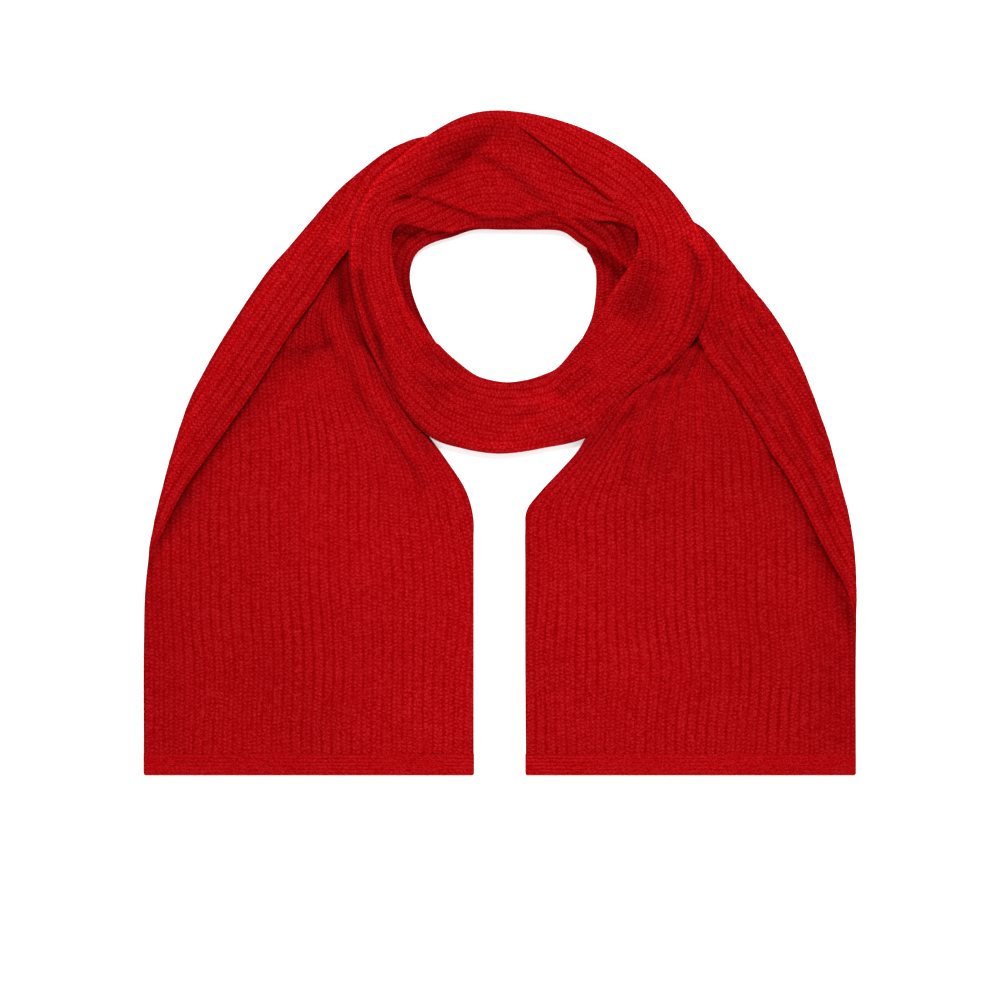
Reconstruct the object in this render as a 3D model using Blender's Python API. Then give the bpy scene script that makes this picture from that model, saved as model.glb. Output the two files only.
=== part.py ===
"""Knit scarf laid flat: one long ribbed strip, wound once round a neck opening, with its two ends side by side.

Metres, +Z up, origin on the ground under the middle of the whole. The driving sizes and the tables are in
millimetres. The strip is gathered round the neck, so its hidden layers share one rounded ring, and each
stretch that shows is a wall of cloth laid over that ring, on the wall below it, or on the end beneath it.
"""

import bpy
import numpy as np

MM = 0.001

# Driving sizes, in millimetres
CLOTH = 3.0  # thickness of the knitted cloth
GAP = 0.3  # clearance between pieces that touch
LAYER = CLOTH + GAP  # rise of one layer of cloth
SLACK = 0.3  # further room between the layers gathered round the neck
STRIP_WIDTH = 280.0  # width of the flat strip
END_GAP = 43.0  # between the two hanging ends
END_FOOT = -281.0  # lower edge of both ends
HEM_DEPTH = 18.5
HEM_THICKNESS = 4.0
HEM_CORNER = 5.0  # radius of the hem's lower corners
TUCK_ROOM = 17.0  # how far the ring's foot stands in from its edge, where an end is tucked under it

SECTION_STEPS = 12  # divisions across a wall
RING_STEP = 0.5  # rows of the ring table between two sections
SIDE_POWER = 0.75  # roundness of a section across, 1 is an ellipse
CROWN_POWER = 0.6  # roundness of a section in height


def table(columns, rows):
    """Rows of numbers as a dictionary of named columns."""
    return dict(zip(columns.split(), np.array(rows, float).T))


# The ring, clockwise from the middle of its front: its outer and inner edge, the height of its hidden
# layers, and the height of its outer rim, which is above 0 where the rim lies on an end or a folded edge.
RING = table(
    "outer_x outer_y inner_x inner_y height rim",
    [
        (0, -10, 4, 53, 8.0, 0.0),  # 0, middle of the front
        (-34, -5, -18, 58, 8.5, 0.0),
        (-59, 5, -35, 69, 9.0, 3.6),  # 2, the left end comes out
        (-80, 26, -50, 83, 9.0, 3.6),
        (-97, 53, -61, 99, 9.5, 3.6),
        (-114, 87, -69, 117, 10.0, 3.6),
        (-123, 117, -75, 131, 10.0, 4.5),
        (-128, 151, -77, 143, 10.5, 7.0),
        (-125, 182, -74, 156, 12.0, 8.5),  # 8, the left folded edge goes under
        (-113, 213, -67, 164, 13.0, 10.0),
        (-87, 239, -55, 169, 13.0, 10.0),
        (-55, 261, -40, 173, 13.0, 9.0),
        (-27, 276, -21, 179, 13.5, 3.0),
        (0, 280.7, 3, 179, 14.0, 0.0),  # 13, top of the back
        (34, 276, 27, 179, 14.0, 0.0),
        (74, 263, 51, 178, 14.0, 0.0),
        (110, 243, 65, 169, 14.0, 0.0),
        (140, 217, 75, 161, 13.0, 3.0),
        (163, 187, 80, 148, 12.0, 7.0),  # 18, the right folded edge comes out
        (178, 156, 81, 135, 11.0, 7.0),
        (179, 128, 80, 121, 10.5, 7.0),
        (169, 94, 76, 106, 10.0, 7.0),
        (145, 64, 69, 91, 9.5, 4.5),
        (118, 47, 58, 75, 9.0, 3.6),
        (95, 28, 48, 64, 9.0, 3.6),
        (74, 5, 38, 59, 8.5, 3.6),  # 25, the right end comes out
        (38, -5, 23, 55, 8.0, 0.0),
    ],
)
ROWS = len(RING["outer_x"])

# Edges that cross the ring: at a row, how far across they are, 0 at the outer edge and 1 at the inner one
LEFT_STRAND_INNER = table(
    "row across",
    [(3, 1.0), (3.5, 0.97), (4, 0.94), (5, 0.86), (6, 0.83), (7, 0.8), (8, 0.7), (9, 0.62), (10, 0.8),
     (11, 0.93), (12, 0.96), (15, 0.96), (16, 0.8), (17.5, 0.62)],
)
LEFT_STRAND_OUTER = table("row across", [(13.3, 0.0), (14, 0.1), (15, 0.3), (16, 0.33), (17.5, 0.31)])
RIGHT_STRAND_INNER = table(
    "row across",
    [(12.4, 0.1), (13, 0.14), (14, 0.27), (15, 0.47), (16, 0.49), (17, 0.47), (18, 0.53), (19, 0.69),
     (20, 0.84), (21, 0.93), (21.5, 0.96), (22, 1.0)],
)

# The inner layer of cloth: its rows, how far across its hidden edge is, and the step in the ring beside it
INNER_LAYER = dict(first=3.6, last=21.4, outer_edge=0.42, step=0.07, clear=0.03)

# Rows between which something is so, as start, full, still full and end
WRAPPED_ROWS = (11.6, 12.6, 13.4, 14.4)  # the right strand comes round the outside of the left one
LINED_ROWS = (2.6, 3.6, 21.6, 22.6)  # the inner layer reaches the inner edge
STEPPED_ROWS = (2.8, 3.4, 21.6, 22.2)  # the hidden ring is one layer lower under the inner layer
LOOSE_ROWS = (12.2, 13.0, 14.0, 14.8)  # the hidden ring stands further in from the outer edge
LOOSE_ROOM = 1.6
CROSSED_ROWS = (17.7, 18.5)  # the right strand comes down off the left one
CROSSED_EDGE = (0.14, 0.03)  # how far outside the left strand's edge it starts and stops rising

# Pleats pressed into the ring: where each starts, bends and ends, its depth and its half width
PLEATS = table(
    "row_a row_b row_c across_a across_b across_c depth half_width",
    [
        (3.2, 5.0, 8.2, 0.06, 0.25, 0.24, 4.0, 5.0),  # second fold of the left strand
        (9.2, 11.0, 13.4, 0.40, 0.40, 0.15, 5.5, 9.0),  # below the raised outer fold
        (8.8, 11.0, 12.5, 0.28, 0.66, 0.88, 4.0, 8.0),  # lower fold of the back, left half
        (12.5, 14.5, 17.4, 0.88, 0.86, 0.60, 4.0, 8.0),  # the same, right half
        (12.0, 13.0, 14.8, 0.33, 0.46, 0.72, 2.0, 9.0),
        (18.3, 19.3, 20.6, 0.14, 0.13, 0.15, 3.0, 6.0),  # second fold of the right strand
        (19.0, 20.0, 21.0, 0.68, 0.60, 0.52, 3.0, 14.0),
        (1.6, 2.4, 3.2, 0.60, 0.55, 0.50, 2.0, 10.0),
        (23.6, 24.8, 26.4, 0.62, 0.55, 0.62, 2.0, 9.0),
        (22.0, 23.0, 24.6, 0.30, 0.26, 0.30, 1.5, 8.0),
        (20.8, 22.4, 24.0, 0.80, 0.78, 0.82, 1.5, 7.0),
        (3.6, 5.0, 7.0, 0.62, 0.60, 0.58, 1.5, 7.0),
    ],
)

# Each end from its hem upwards: its left and right edge. The top rows are tucked under the ring.
LEFT_END = table(
    "y left right",
    [(-262.2, -302, -22), (-166, -301, -22), (-95, -296, -22), (-80, -290, -22), (-65, -287, -22),
     (-39, -281, -29), (-14, -274, -45), (11, -266, -63), (37, -257, -76), (62, -245, -88),
     (84, -232, -99), (104, -219, -107), (129, -202, -113), (153, -183, -117), (172, -165, -118)],
)
RIGHT_END = table(
    "y left right",
    [(-262.2, 22, 302), (-166, 21, 302), (-142, 21, 301.5), (-129, 21, 296.5), (-99, 21, 294), (-73, 21, 292),
     (-56, 23, 289), (-39, 36, 285.5), (-23, 51, 281.5), (-6, 66, 276), (11, 74, 271), (37, 98, 262.5),
     (62, 130, 252.5), (87, 153, 239.5), (113, 164, 222.5)],
)
END_COLUMNS = 4

# Each folded-over edge from its foot upwards: the fold, the strip's own edge, and the height of its top
LEFT_FOLD = table(
    "fold_x fold_y edge_x edge_y top",
    [
        (-295, -80, -288, -72, 6.3),
        (-287, -43, -274, -43, 6.3),
        (-274, 4, -252, -10, 6.3),
        (-262, 38, -231, 18, 6.3),
        (-246, 69, -210, 46, 6.3),
        (-226, 102, -189, 77, 6.3),
        (-207, 131, -168, 105, 6.3),
        (-194, 149, -155, 124, 6.3),
        (-177, 168, -140, 148, 6.3),
        (-160, 188, -123, 170, 6.4),
        (-137, 214, -112, 192, 7.4),
        (-116, 232, -99, 216, 8.8),
        (-88, 250, -78, 234, 8.8),
        (-62, 259, -56, 250, 8.0),
    ],
)
RIGHT_FOLD = table(
    "fold_x fold_y edge_x edge_y top",
    [
        (301, -124, 293, -126, 6.3),
        (298, -87, 279, -99, 6.3),
        (294, -56, 266, -73, 6.3),
        (287, -28, 254, -48, 6.3),
        (280, -1, 241, -25, 6.3),
        (273, 20, 228, -6, 6.3),
        (265, 42, 217, 14, 6.3),
        (249, 80, 194, 48, 6.3),
        (230, 111, 173, 77, 6.3),
        (207, 140, 164, 112, 6.3),
        (190, 162, 165, 144, 6.3),
        (176, 178, 160, 168, 6.3),
    ],
)
FOLD_RISE = 3.0  # radius of the round fold

# Materials: base colour and roughness
YARN_RED = ((0.39, 0.003, 0.007, 1.0), 0.92)
HEM_RED = ((0.36, 0.003, 0.006, 1.0), 0.9)
SHADED_RED = ((0.30, 0.002, 0.005, 1.0), 0.95)


def smoothstep(low, high, x):
    t = np.clip((x - low) / (high - low), 0.0, 1.0)
    return t * t * (3.0 - 2.0 * t)


def between(rows, row):
    """1 between the two middle rows, falling smoothly to 0 at the outer two."""
    return smoothstep(rows[0], rows[1], row) * (1.0 - smoothstep(rows[2], rows[3], row))


def spline(values, at, closed=False):
    """Catmull-Rom curve through the values, read at fractional row numbers."""
    count = len(values)
    at = np.asarray(at, float)
    first = np.floor(at).astype(int)
    if not closed:
        first = np.clip(first, 0, count - 2)
    t = at - first
    picks = [first + step for step in (-1, 0, 1, 2)]
    wrap = (lambda i: i % count) if closed else (lambda i: np.clip(i, 0, count - 1))
    a, b, c, d = (values[wrap(i)] for i in picks)
    return b + 0.5 * t * (c - a + t * (2 * a - 5 * b + 4 * c - d + t * (3 * (b - c) + d - a)))


def crossing(edge, row):
    return np.interp(row, edge["row"], edge["across"])


def make_object(name, verts, faces, finish, collection):
    mesh = bpy.data.meshes.new(name)
    mesh.from_pydata([tuple(v) for v in verts * MM], [], faces)
    mesh.validate()
    mesh.shade_smooth()
    mesh.set_sharp_from_angle(angle=np.radians(40))
    colour, roughness = finish
    material = bpy.data.materials.new(name + "_knit")
    material.use_nodes = True
    shader = material.node_tree.nodes["Principled BSDF"]
    shader.inputs["Base Color"].default_value = colour
    shader.inputs["Roughness"].default_value = roughness
    mesh.materials.append(material)
    made = bpy.data.objects.new(name, mesh)
    collection.objects.link(made)
    return made


def tube_faces(rings, points, closed=False):
    """Quads round a tube of rings of points, each ring a closed outline, with end caps unless it is closed."""
    faces = []
    for r in range(rings if closed else rings - 1):
        near, far = r * points, (r + 1) % rings * points
        for p in range(points):
            q = (p + 1) % points
            faces.append((near + p, far + p, far + q, near + q))
    return faces


def wall_faces(rings, columns):
    """Faces of a wall whose rings each hold its columns' upper points, then their lower points reversed."""
    points = 2 * columns
    faces = tube_faces(rings, points)
    for c in range(columns - 1):
        upper, lower = c, points - 1 - c
        faces.append((upper, upper + 1, lower - 1, lower))
        end = (rings - 1) * points
        faces.append((end + upper + 1, end + upper, end + lower, end + lower - 1))
    return faces


def facing_out(verts, faces):
    """The same faces, turned over if together they enclose a negative volume."""
    volume = 0.0
    for face in faces:
        corners = verts[list(face)]
        for i in range(1, len(face) - 1):
            volume += np.dot(corners[0], np.cross(corners[i], corners[i + 1]))
    return faces if volume > 0 else [tuple(reversed(face)) for face in faces]


def pleat_depth(row, across, width, layers_above):
    """How far the pleats press in at a place on the ring, each a soft trough that fades at its two ends.

    The layers below give way over a wider strip and a little deeper, so no layer bites into the next.
    """
    widen, deepen = 1.0 + 0.5 * layers_above, 1.0 + 0.2 * layers_above
    total = np.zeros(np.broadcast(row, across).shape)
    for i in range(len(PLEATS["depth"])):
        a, b, c = (PLEATS["row_" + k][i] for k in "abc")
        path = np.interp(row, (a, b, c), [PLEATS["across_" + k][i] for k in "abc"])
        fade = smoothstep(a - 0.2, a + 0.8, row) * (1.0 - smoothstep(c - 0.8, c + 0.2, row))
        off = (across - path) * width / (PLEATS["half_width"][i] * widen)
        total += PLEATS["depth"][i] * deepen * fade * np.exp(-off * off)
    return total


def ring_frame(row):
    """Centre, outward-to-inward direction, half width, height and rim of the hidden ring at a row."""
    col = {name: spline(values, row, closed=True) for name, values in RING.items()}
    outer = np.stack([col["outer_x"], col["outer_y"]], -1)
    inner = np.stack([col["inner_x"], col["inner_y"]], -1)
    width = np.linalg.norm(inner - outer, axis=-1)
    direction = (inner - outer) / width[..., None]
    turn = row % ROWS
    outer_inset = SLACK + LAYER * (2.0 + between(WRAPPED_ROWS, turn))
    inner_inset = SLACK + LAYER * (2.0 - between(LINED_ROWS, turn))
    outer = outer + direction * outer_inset[..., None]
    inner = inner - direction * inner_inset[..., None]
    half = 0.5 * (width - outer_inset - inner_inset)
    return 0.5 * (outer + inner), direction, half, col["height"], np.maximum(col["rim"], 0.0)


def side_at(angle):
    """Place across a section, from -1 at the outer foot to 1 at the inner one."""
    return -np.sign(np.cos(angle)) * np.abs(np.cos(angle)) ** SIDE_POWER


def ring_points(row, angle, proud, layers_above=0):
    """Points of the ring's surface moved out by `proud`: a superellipse, 0 at the outer foot, pi at the inner."""
    centre, direction, half, height, rim = ring_frame(row)
    side = side_at(angle)
    crown = np.clip(np.sin(angle), 0.0, 1.0) ** CROWN_POWER
    reach = side * (half + proud)
    foot = np.where(side < 0, rim, 0.0)
    z = foot + (height + proud - foot) * crown
    press = pleat_depth(row % ROWS, 0.5 * (side + 1.0), 2.0 * half, layers_above)
    z = z - np.minimum(press * smoothstep(0.2, 0.8, crown), 0.6 * z)
    flat = centre + direction * reach[..., None]
    return np.concatenate([flat, z[..., None]], -1)


def angle_at(across):
    """The section angle whose point lies that far across the ring."""
    side = 2.0 * across - 1.0
    return np.arccos(-np.sign(side) * np.abs(side) ** (1.0 / SIDE_POWER))


def column_spread():
    """Columns across a wall from 0 to 1, closer together near its two edges, where the section turns down."""
    even = np.linspace(0.0, 1.0, SECTION_STEPS + 1)
    return 0.45 * even + 0.55 * 0.5 * (1.0 - np.cos(np.pi * even))


def ring_wall(name, first, last, outer_edge, inner_edge, lift, finish, collection, layers_above=0):
    """A wall of cloth over the ring, from one row to another, between two edges that may cross the ring."""
    clear = 0.006  # rows, half the clearance between two walls that meet end to end
    shared = np.arange(0.0, 2.0 * ROWS, RING_STEP)
    inside = shared[(shared > first + 0.1) & (shared < last - 0.1)]
    rows = np.concatenate([[first + clear], inside, [last - clear]])
    start, stop = angle_at(outer_edge(rows)), angle_at(inner_edge(rows))
    angle = start[:, None] + (stop - start)[:, None] * column_spread()
    row = np.broadcast_to(rows[:, None], angle.shape)
    rise = lift(row, 0.5 * (side_at(angle) + 1.0))
    upper = ring_points(row, angle, rise + GAP + CLOTH, layers_above)
    lower = ring_points(row, angle, rise + GAP, layers_above)
    verts = np.concatenate([upper, lower[:, ::-1]], 1).reshape(-1, 3)
    faces = wall_faces(len(rows), SECTION_STEPS + 1)
    return make_object(name, verts, facing_out(verts, faces), finish, collection)


def under_inner_layer(row, across):
    """How far the hidden ring steps out where the inner layer of cloth doesn't cover it."""
    edge, step = INNER_LAYER["outer_edge"], INNER_LAYER["step"]
    return LAYER * (1.0 - between(STEPPED_ROWS, row) * smoothstep(edge - step, edge - 0.005, across))


def hidden_layers(finish, collection):
    """The gathered layers that don't show, as one rounded ring with a flat underside."""
    rows = np.arange(0.0, ROWS, RING_STEP)
    step_start = angle_at(INNER_LAYER["outer_edge"] - INNER_LAYER["step"])
    step_end = angle_at(INNER_LAYER["outer_edge"])
    angle = np.concatenate([step_start * column_spread()[::2], step_end + (np.pi - step_end) * column_spread()])
    row, angle = np.broadcast_arrays(rows[:, None], angle[None, :])
    across = 0.5 * (side_at(angle) + 1.0)
    outside = across < INNER_LAYER["outer_edge"] - INNER_LAYER["step"] + 1e-6
    room = 2.0 * SLACK + LOOSE_ROOM * between(LOOSE_ROWS, row) * outside
    shell = ring_points(row, angle, under_inner_layer(row, across) - room, 2)
    direction = ring_frame(rows)[1]
    ledge = np.maximum(shell[:, 0, 2], GAP)
    shell[:, 0, 2] = ledge
    foot_in = shell[:, 0, :2] + direction * TUCK_ROOM
    under = np.concatenate([foot_in, ledge[:, None]], 1)[:, None]
    foot = np.concatenate([foot_in, np.zeros((len(rows), 1))], 1)[:, None]
    sections = np.concatenate([shell, foot, under], 1)
    verts = sections.reshape(-1, 3)
    faces = tube_faces(len(rows), sections.shape[1], closed=True)
    return make_object("neck_layers", verts, facing_out(verts, faces), finish, collection)


def end_panel(name, rows, finish, collection):
    """One hanging end, flat on the ground, from its hem to where it is tucked under the ring."""
    spread = np.linspace(0.0, 1.0, END_COLUMNS + 1)
    x = rows["left"][:, None] + (rows["right"] - rows["left"])[:, None] * spread
    y = np.broadcast_to(rows["y"][:, None], x.shape)
    upper = np.stack([x, y, np.full(x.shape, CLOTH)], -1)
    lower = np.stack([x, y, np.zeros(x.shape)], -1)
    verts = np.concatenate([upper, lower[:, ::-1]], 1).reshape(-1, 3)
    faces = wall_faces(len(rows["y"]), END_COLUMNS + 1)
    return make_object(name, verts, facing_out(verts, faces), finish, collection)


def hem(name, left, finish, collection):
    """The turned-up band across the foot of an end, with round lower corners."""
    turn = np.linspace(0.0, 0.5 * np.pi, 5)
    right, top, foot, r = left + STRIP_WIDTH, END_FOOT + HEM_DEPTH, END_FOOT, HEM_CORNER
    outline = [(left, top)]
    outline += [(left + r - r * np.cos(a), foot + r - r * np.sin(a)) for a in turn]
    outline += [(right - r + r * np.sin(a), foot + r - r * np.cos(a)) for a in turn]
    outline.append((right, top))
    flat = np.array(outline)
    levels = [np.column_stack([flat, np.full(len(flat), z)]) for z in (0.0, HEM_THICKNESS)]
    verts = np.concatenate(levels)
    count = len(flat)
    faces = tube_faces(2, count)
    faces += [tuple(range(count)), tuple(reversed(range(count, 2 * count)))]
    return make_object(name, verts, facing_out(verts, faces), finish, collection)


def folded_edge(name, rows, finish, collection):
    """The strip's outer edge folded over onto the end: a wall that starts in the round fold on the ground."""
    at = np.arange(len(rows["top"]))
    col = rows
    fold = np.stack([col["fold_x"], col["fold_y"]], -1)
    edge = np.stack([col["edge_x"], col["edge_y"]], -1)
    width = np.linalg.norm(edge - fold, axis=-1)
    direction = (edge - fold) / width[:, None]
    roll = np.minimum(FOLD_RISE, 0.3 * width)
    steps = [np.zeros_like(width), 0.12 * roll, 0.45 * roll, roll, roll + 0.2]
    steps += [roll + 0.2 + (width - roll - 0.2) * part for part in (0.15, 0.4, 0.65, 0.9, 1.0)]
    rise = [0.45, 0.7, 0.9, 0.985, 1.0, 1.0, 1.0, 1.0, 1.0, 0.9]
    on_end = [False] * 4 + [True] * 6
    upper, lower = [], []
    for reach, part, lies_on_end in zip(steps, rise, on_end):
        flat = fold + direction * reach[:, None]
        upper.append(np.column_stack([flat, col["top"] * part]))
        lower.append(np.column_stack([flat, np.full(len(at), LAYER if lies_on_end else 0.0)]))
    upper, lower = np.stack(upper, 1), np.stack(lower, 1)
    verts = np.concatenate([upper, lower[:, ::-1]], 1).reshape(-1, 3)
    faces = wall_faces(len(at), len(steps))
    return make_object(name, verts, facing_out(verts, faces), finish, collection)


def constant(value):
    return lambda row: np.full(np.shape(row), value)


def left_strand_lift(row, across):
    """One layer above the inner layer of cloth."""
    return np.full(np.shape(row), LAYER + SLACK)


def right_strand_lift(row, across):
    """One layer, and a second where the strand crosses over the left strand at the back."""
    under = crossing(LEFT_STRAND_OUTER, row)
    over = smoothstep(under - CROSSED_EDGE[0], under - CROSSED_EDGE[1], across)
    over = over * (1.0 - smoothstep(*CROSSED_ROWS, row))
    return (LAYER + SLACK) * (1.0 + over)


def inner_lift(row, across):
    return np.zeros(np.shape(row))


def build_scarf():
    for old in list(bpy.data.objects):
        bpy.data.objects.remove(old, do_unlink=True)
    scarf = bpy.data.collections.new("knit_scarf")
    bpy.context.scene.collection.children.link(scarf)

    end_panel("left_end", LEFT_END, YARN_RED, scarf)
    end_panel("right_end", RIGHT_END, YARN_RED, scarf)
    hem("left_hem", -0.5 * END_GAP - STRIP_WIDTH, HEM_RED, scarf)
    hem("right_hem", 0.5 * END_GAP, HEM_RED, scarf)
    folded_edge("left_folded_edge", LEFT_FOLD, YARN_RED, scarf)
    folded_edge("right_folded_edge", RIGHT_FOLD, YARN_RED, scarf)

    hidden_layers(SHADED_RED, scarf)
    left_inner = lambda row: crossing(LEFT_STRAND_INNER, row)
    left_outer = lambda row: crossing(LEFT_STRAND_OUTER, row)
    right_inner = lambda row: crossing(RIGHT_STRAND_INNER, row)
    whole = constant(1.0)
    ring_wall("neck_inner_layer", INNER_LAYER["first"], INNER_LAYER["last"],
              constant(INNER_LAYER["outer_edge"] + INNER_LAYER["clear"]), whole, inner_lift, SHADED_RED, scarf, 1)
    ring_wall("neck_front", 24.0, ROWS + 3.0, constant(0.0), whole, left_strand_lift, YARN_RED, scarf)
    ring_wall("neck_left", 3.0, 8.5, constant(0.0), left_inner, left_strand_lift, YARN_RED, scarf)
    ring_wall("neck_back", 8.5, 17.4, left_outer, left_inner, left_strand_lift, YARN_RED, scarf)
    ring_wall("neck_crossover", 12.4, 18.6, constant(0.0), right_inner, right_strand_lift, YARN_RED, scarf)
    ring_wall("neck_right", 18.6, 24.0, constant(0.0), right_inner, left_strand_lift, YARN_RED, scarf)


build_scarf()
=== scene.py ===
import bpy
import numpy as np
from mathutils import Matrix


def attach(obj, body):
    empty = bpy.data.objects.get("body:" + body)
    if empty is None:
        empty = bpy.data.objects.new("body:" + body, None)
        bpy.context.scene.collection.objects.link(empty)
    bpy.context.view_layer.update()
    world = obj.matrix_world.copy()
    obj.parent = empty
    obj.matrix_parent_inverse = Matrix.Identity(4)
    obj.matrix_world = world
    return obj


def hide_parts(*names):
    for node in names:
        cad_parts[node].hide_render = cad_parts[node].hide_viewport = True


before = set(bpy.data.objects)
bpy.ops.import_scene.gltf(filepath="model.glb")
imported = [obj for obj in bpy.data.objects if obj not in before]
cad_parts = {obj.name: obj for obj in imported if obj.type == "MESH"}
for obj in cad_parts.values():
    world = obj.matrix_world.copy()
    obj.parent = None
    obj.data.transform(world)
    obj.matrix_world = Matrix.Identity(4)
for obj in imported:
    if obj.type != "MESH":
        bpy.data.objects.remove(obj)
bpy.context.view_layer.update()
mm = 0.001  # every size below is in millimetres
turn = 2.0 * np.pi

# the gauge of the knitting, the same all over the scarf
knit = {
    "rib": 8.45,  # two wales of stitches, with a deeper groove after each pair
    "course": 3.4,  # one row of stitches
    "ribHeight": 0.9,
    "waleHeight": 0.5,
    "stitchHeight": 0.25,
    "cloth": 3.0,  # thickness of one layer
    "edgeRound": 1.5,
    "paintedShadingLimits": (-0.6, 0.92),  # the strongest painted highlight on a rim and the darkest painted shade in a fold
}


# a ramp from 0 at low to 1 at high, level at both ends
def ease(low, high, x):
    t = np.clip((x - low) / (high - low), 0.0, 1.0)
    return t * t * (3.0 - 2.0 * t)


# slow seeded unevenness: random heights on a square lattice, eased from one to the next, between -1 and 1
def drift(x, y, size, seed):
    lattice = np.random.default_rng(seed).uniform(-1.0, 1.0, (61, 67))
    gx, gy = x / size + 1000.0, y / size + 1000.0
    ix, iy = np.floor(gx).astype(int), np.floor(gy).astype(int)
    fx, fy = ease(0.0, 1.0, gx - ix), ease(0.0, 1.0, gy - iy)
    near = lattice[ix % 61, iy % 67] * (1.0 - fx) + lattice[(ix + 1) % 61, iy % 67] * fx
    far = lattice[ix % 61, (iy + 1) % 67] * (1.0 - fx) + lattice[(ix + 1) % 61, (iy + 1) % 67] * fx
    return near * (1.0 - fy) + far * fy


# a smooth curve through the rows of a table, whose first column is where each row stands:
# between two rows a cubic that keeps the slope of the table at both
def through(table, at):
    table = np.array(table, float)
    place, rows = table[:, 0], table[:, 1:]
    slope = np.gradient(rows, place, axis=0)
    at = np.clip(at, place[0], place[-1])
    i = np.clip(np.searchsorted(place, at) - 1, 0, len(place) - 2)
    span = (place[i + 1] - place[i])[:, None]
    t = (at - place[i])[:, None] / span
    start, end = rows[i], rows[i + 1]
    rise = end - start
    square = 3.0 * rise - span * (2.0 * slope[i] + slope[i + 1])
    cube = span * (slope[i] + slope[i + 1]) - 2.0 * rise
    return start + t * (span * slope[i] + t * (square + t * cube))


# a value from a table of two columns, straight from one row to the next
def fromTable(table, at):
    return np.interp(at, *np.array(table).T)


# each point's distance from a bent line, positive on its left, and its place along the line from 0 to 1
def fromLine(x, y, line):
    line = np.array(line, float)
    places = np.linspace(0.0, len(line) - 1.0, 4 * len(line))
    line = through(np.column_stack([np.arange(len(line)), line]), places)
    legs = np.diff(line, axis=0)
    run = np.concatenate([[0.0], np.cumsum(np.hypot(legs[:, 0], legs[:, 1]))])
    nearest = np.full(x.shape, 1e9)
    signed, share = np.zeros(x.shape), np.zeros(x.shape)
    for (px, py), (lx, ly), start, end in zip(line, legs, run, run[1:]):
        t = np.clip(((x - px) * lx + (y - py) * ly) / (lx * lx + ly * ly), 0.0, 1.0)
        dx, dy = x - px - t * lx, y - py - t * ly
        gap = np.hypot(dx, dy)
        closer = gap < nearest
        nearest = np.where(closer, gap, nearest)
        signed = np.where(closer, np.where(lx * dy - ly * dx > 0.0, gap, -gap), signed)
        share = np.where(closer, (start + t * (end - start)) / run[-1], share)
    return signed, share


# soft folds: a bell across each line, raised or pressed in, fading out at both ends
def folds(x, y, table):
    total = np.zeros(x.shape)
    for height, half, line in table:
        off, share = fromLine(x, y, line)
        ends = ease(0.0, 0.2, share) * (1.0 - ease(0.8, 1.0, share))
        total += height * np.exp(-((off / half) ** 2)) * ends
    return total


# raised layers: up on the left of each line within its soft edge, sinking back over its reach;
# a negative height is a trough, deepest at the line and rising straight back over its reach
def lifts(x, y, table):
    total = np.zeros(x.shape)
    for height, edge, reach, line in table:
        off, share = fromLine(x, y, line)
        side = 0.5 + 0.5 * np.tanh(off / edge)
        away = np.maximum(off, 0.0) / reach
        fall = np.exp(-(away**2)) if height > 0.0 else np.clip(1.0 - away, 0.0, 1.0) ** 1.4
        total += height * side * fall * ease(0.0, 0.15, share) * (1.0 - ease(0.85, 1.0, share))
    return total


# painted shade down in the folds: a bell across each line, taken off the yarn's colour; less than nothing
# is a painted highlight on a rim
def paintedShadingLines(x, y, table):
    total = np.zeros(x.shape)
    for strength, half, line in table:
        off, share = fromLine(x, y, line)
        total += strength * np.exp(-((off / half) ** 2))
    return total


# the relief of the knitting: a rounded wave for each pair of wales and a smaller one for each wale,
# and stitches that slant both ways from the middle of a wale like a row of Vs
def knitRelief(u, v, strength, pairStrength):
    ribs, courses = u / knit["rib"], v / knit["course"]
    whichWale = np.round(2.0 * ribs).astype(int)
    start = np.random.default_rng(5).uniform(0.0, 1.0, 97)[whichWale % 97]
    fromMiddle = np.abs(2.0 * ribs - whichWale)
    pair = -np.cos(turn * (ribs - 0.25))
    wale = np.cos(2.0 * turn * ribs)
    stitch = np.cos(turn * (courses + start - 0.8 * fromMiddle))
    fine = knit["waleHeight"] * wale + knit["stitchHeight"] * stitch
    return 0.5 * (pairStrength * knit["ribHeight"] * pair + strength * fine)


# unevenness drawn out along the ribs: seeded patches, each long one way and narrow the other
def streaks(u, v, wide, long, seed):
    return drift(u / wide, v / long, 1.0, seed)


# outward directions of a grid of points: across one way by across the other
def normalsOf(grid):
    n = np.cross(np.gradient(grid, axis=1), np.gradient(grid, axis=0))
    n /= np.maximum(np.linalg.norm(n, axis=-1, keepdims=True), 1e-9)
    return n if n[..., 2].mean() > 0.0 else -n


# distance run along each row of a grid of points
def runAcross(grid):
    steps = np.linalg.norm(np.diff(grid, axis=1), axis=-1)
    return np.concatenate([np.zeros((len(grid), 1)), np.cumsum(steps, axis=1)], axis=1)


# distance run along the middle of a strip, from row to row
def runAlong(grid):
    middle = grid[:, grid.shape[1] // 2]
    return np.concatenate([[0.0], np.cumsum(np.linalg.norm(np.diff(middle, axis=0), axis=1))])[:, None]


# the underside of a wall: fewer points than its top, from its last to its first, a depth below it
def underside(grid, n, count, depth):
    picks = np.linspace(grid.shape[1] - 1, 0, count).round().astype(int)
    return grid[:, picks] - depth * n[:, picks]


# where each point stands in the knitting, in ribs and courses
def knitPlace(u, v):
    return np.stack([u / knit["rib"], v / knit["course"]], -1)


# how far a rounded edge sinks at a distance from the edge: a quarter circle
def edgeSink(distance, radius):
    t = np.clip(1.0 - distance / radius, 0.0, 1.0)
    return radius * (1.0 - np.sqrt(1.0 - t * t))


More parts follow.
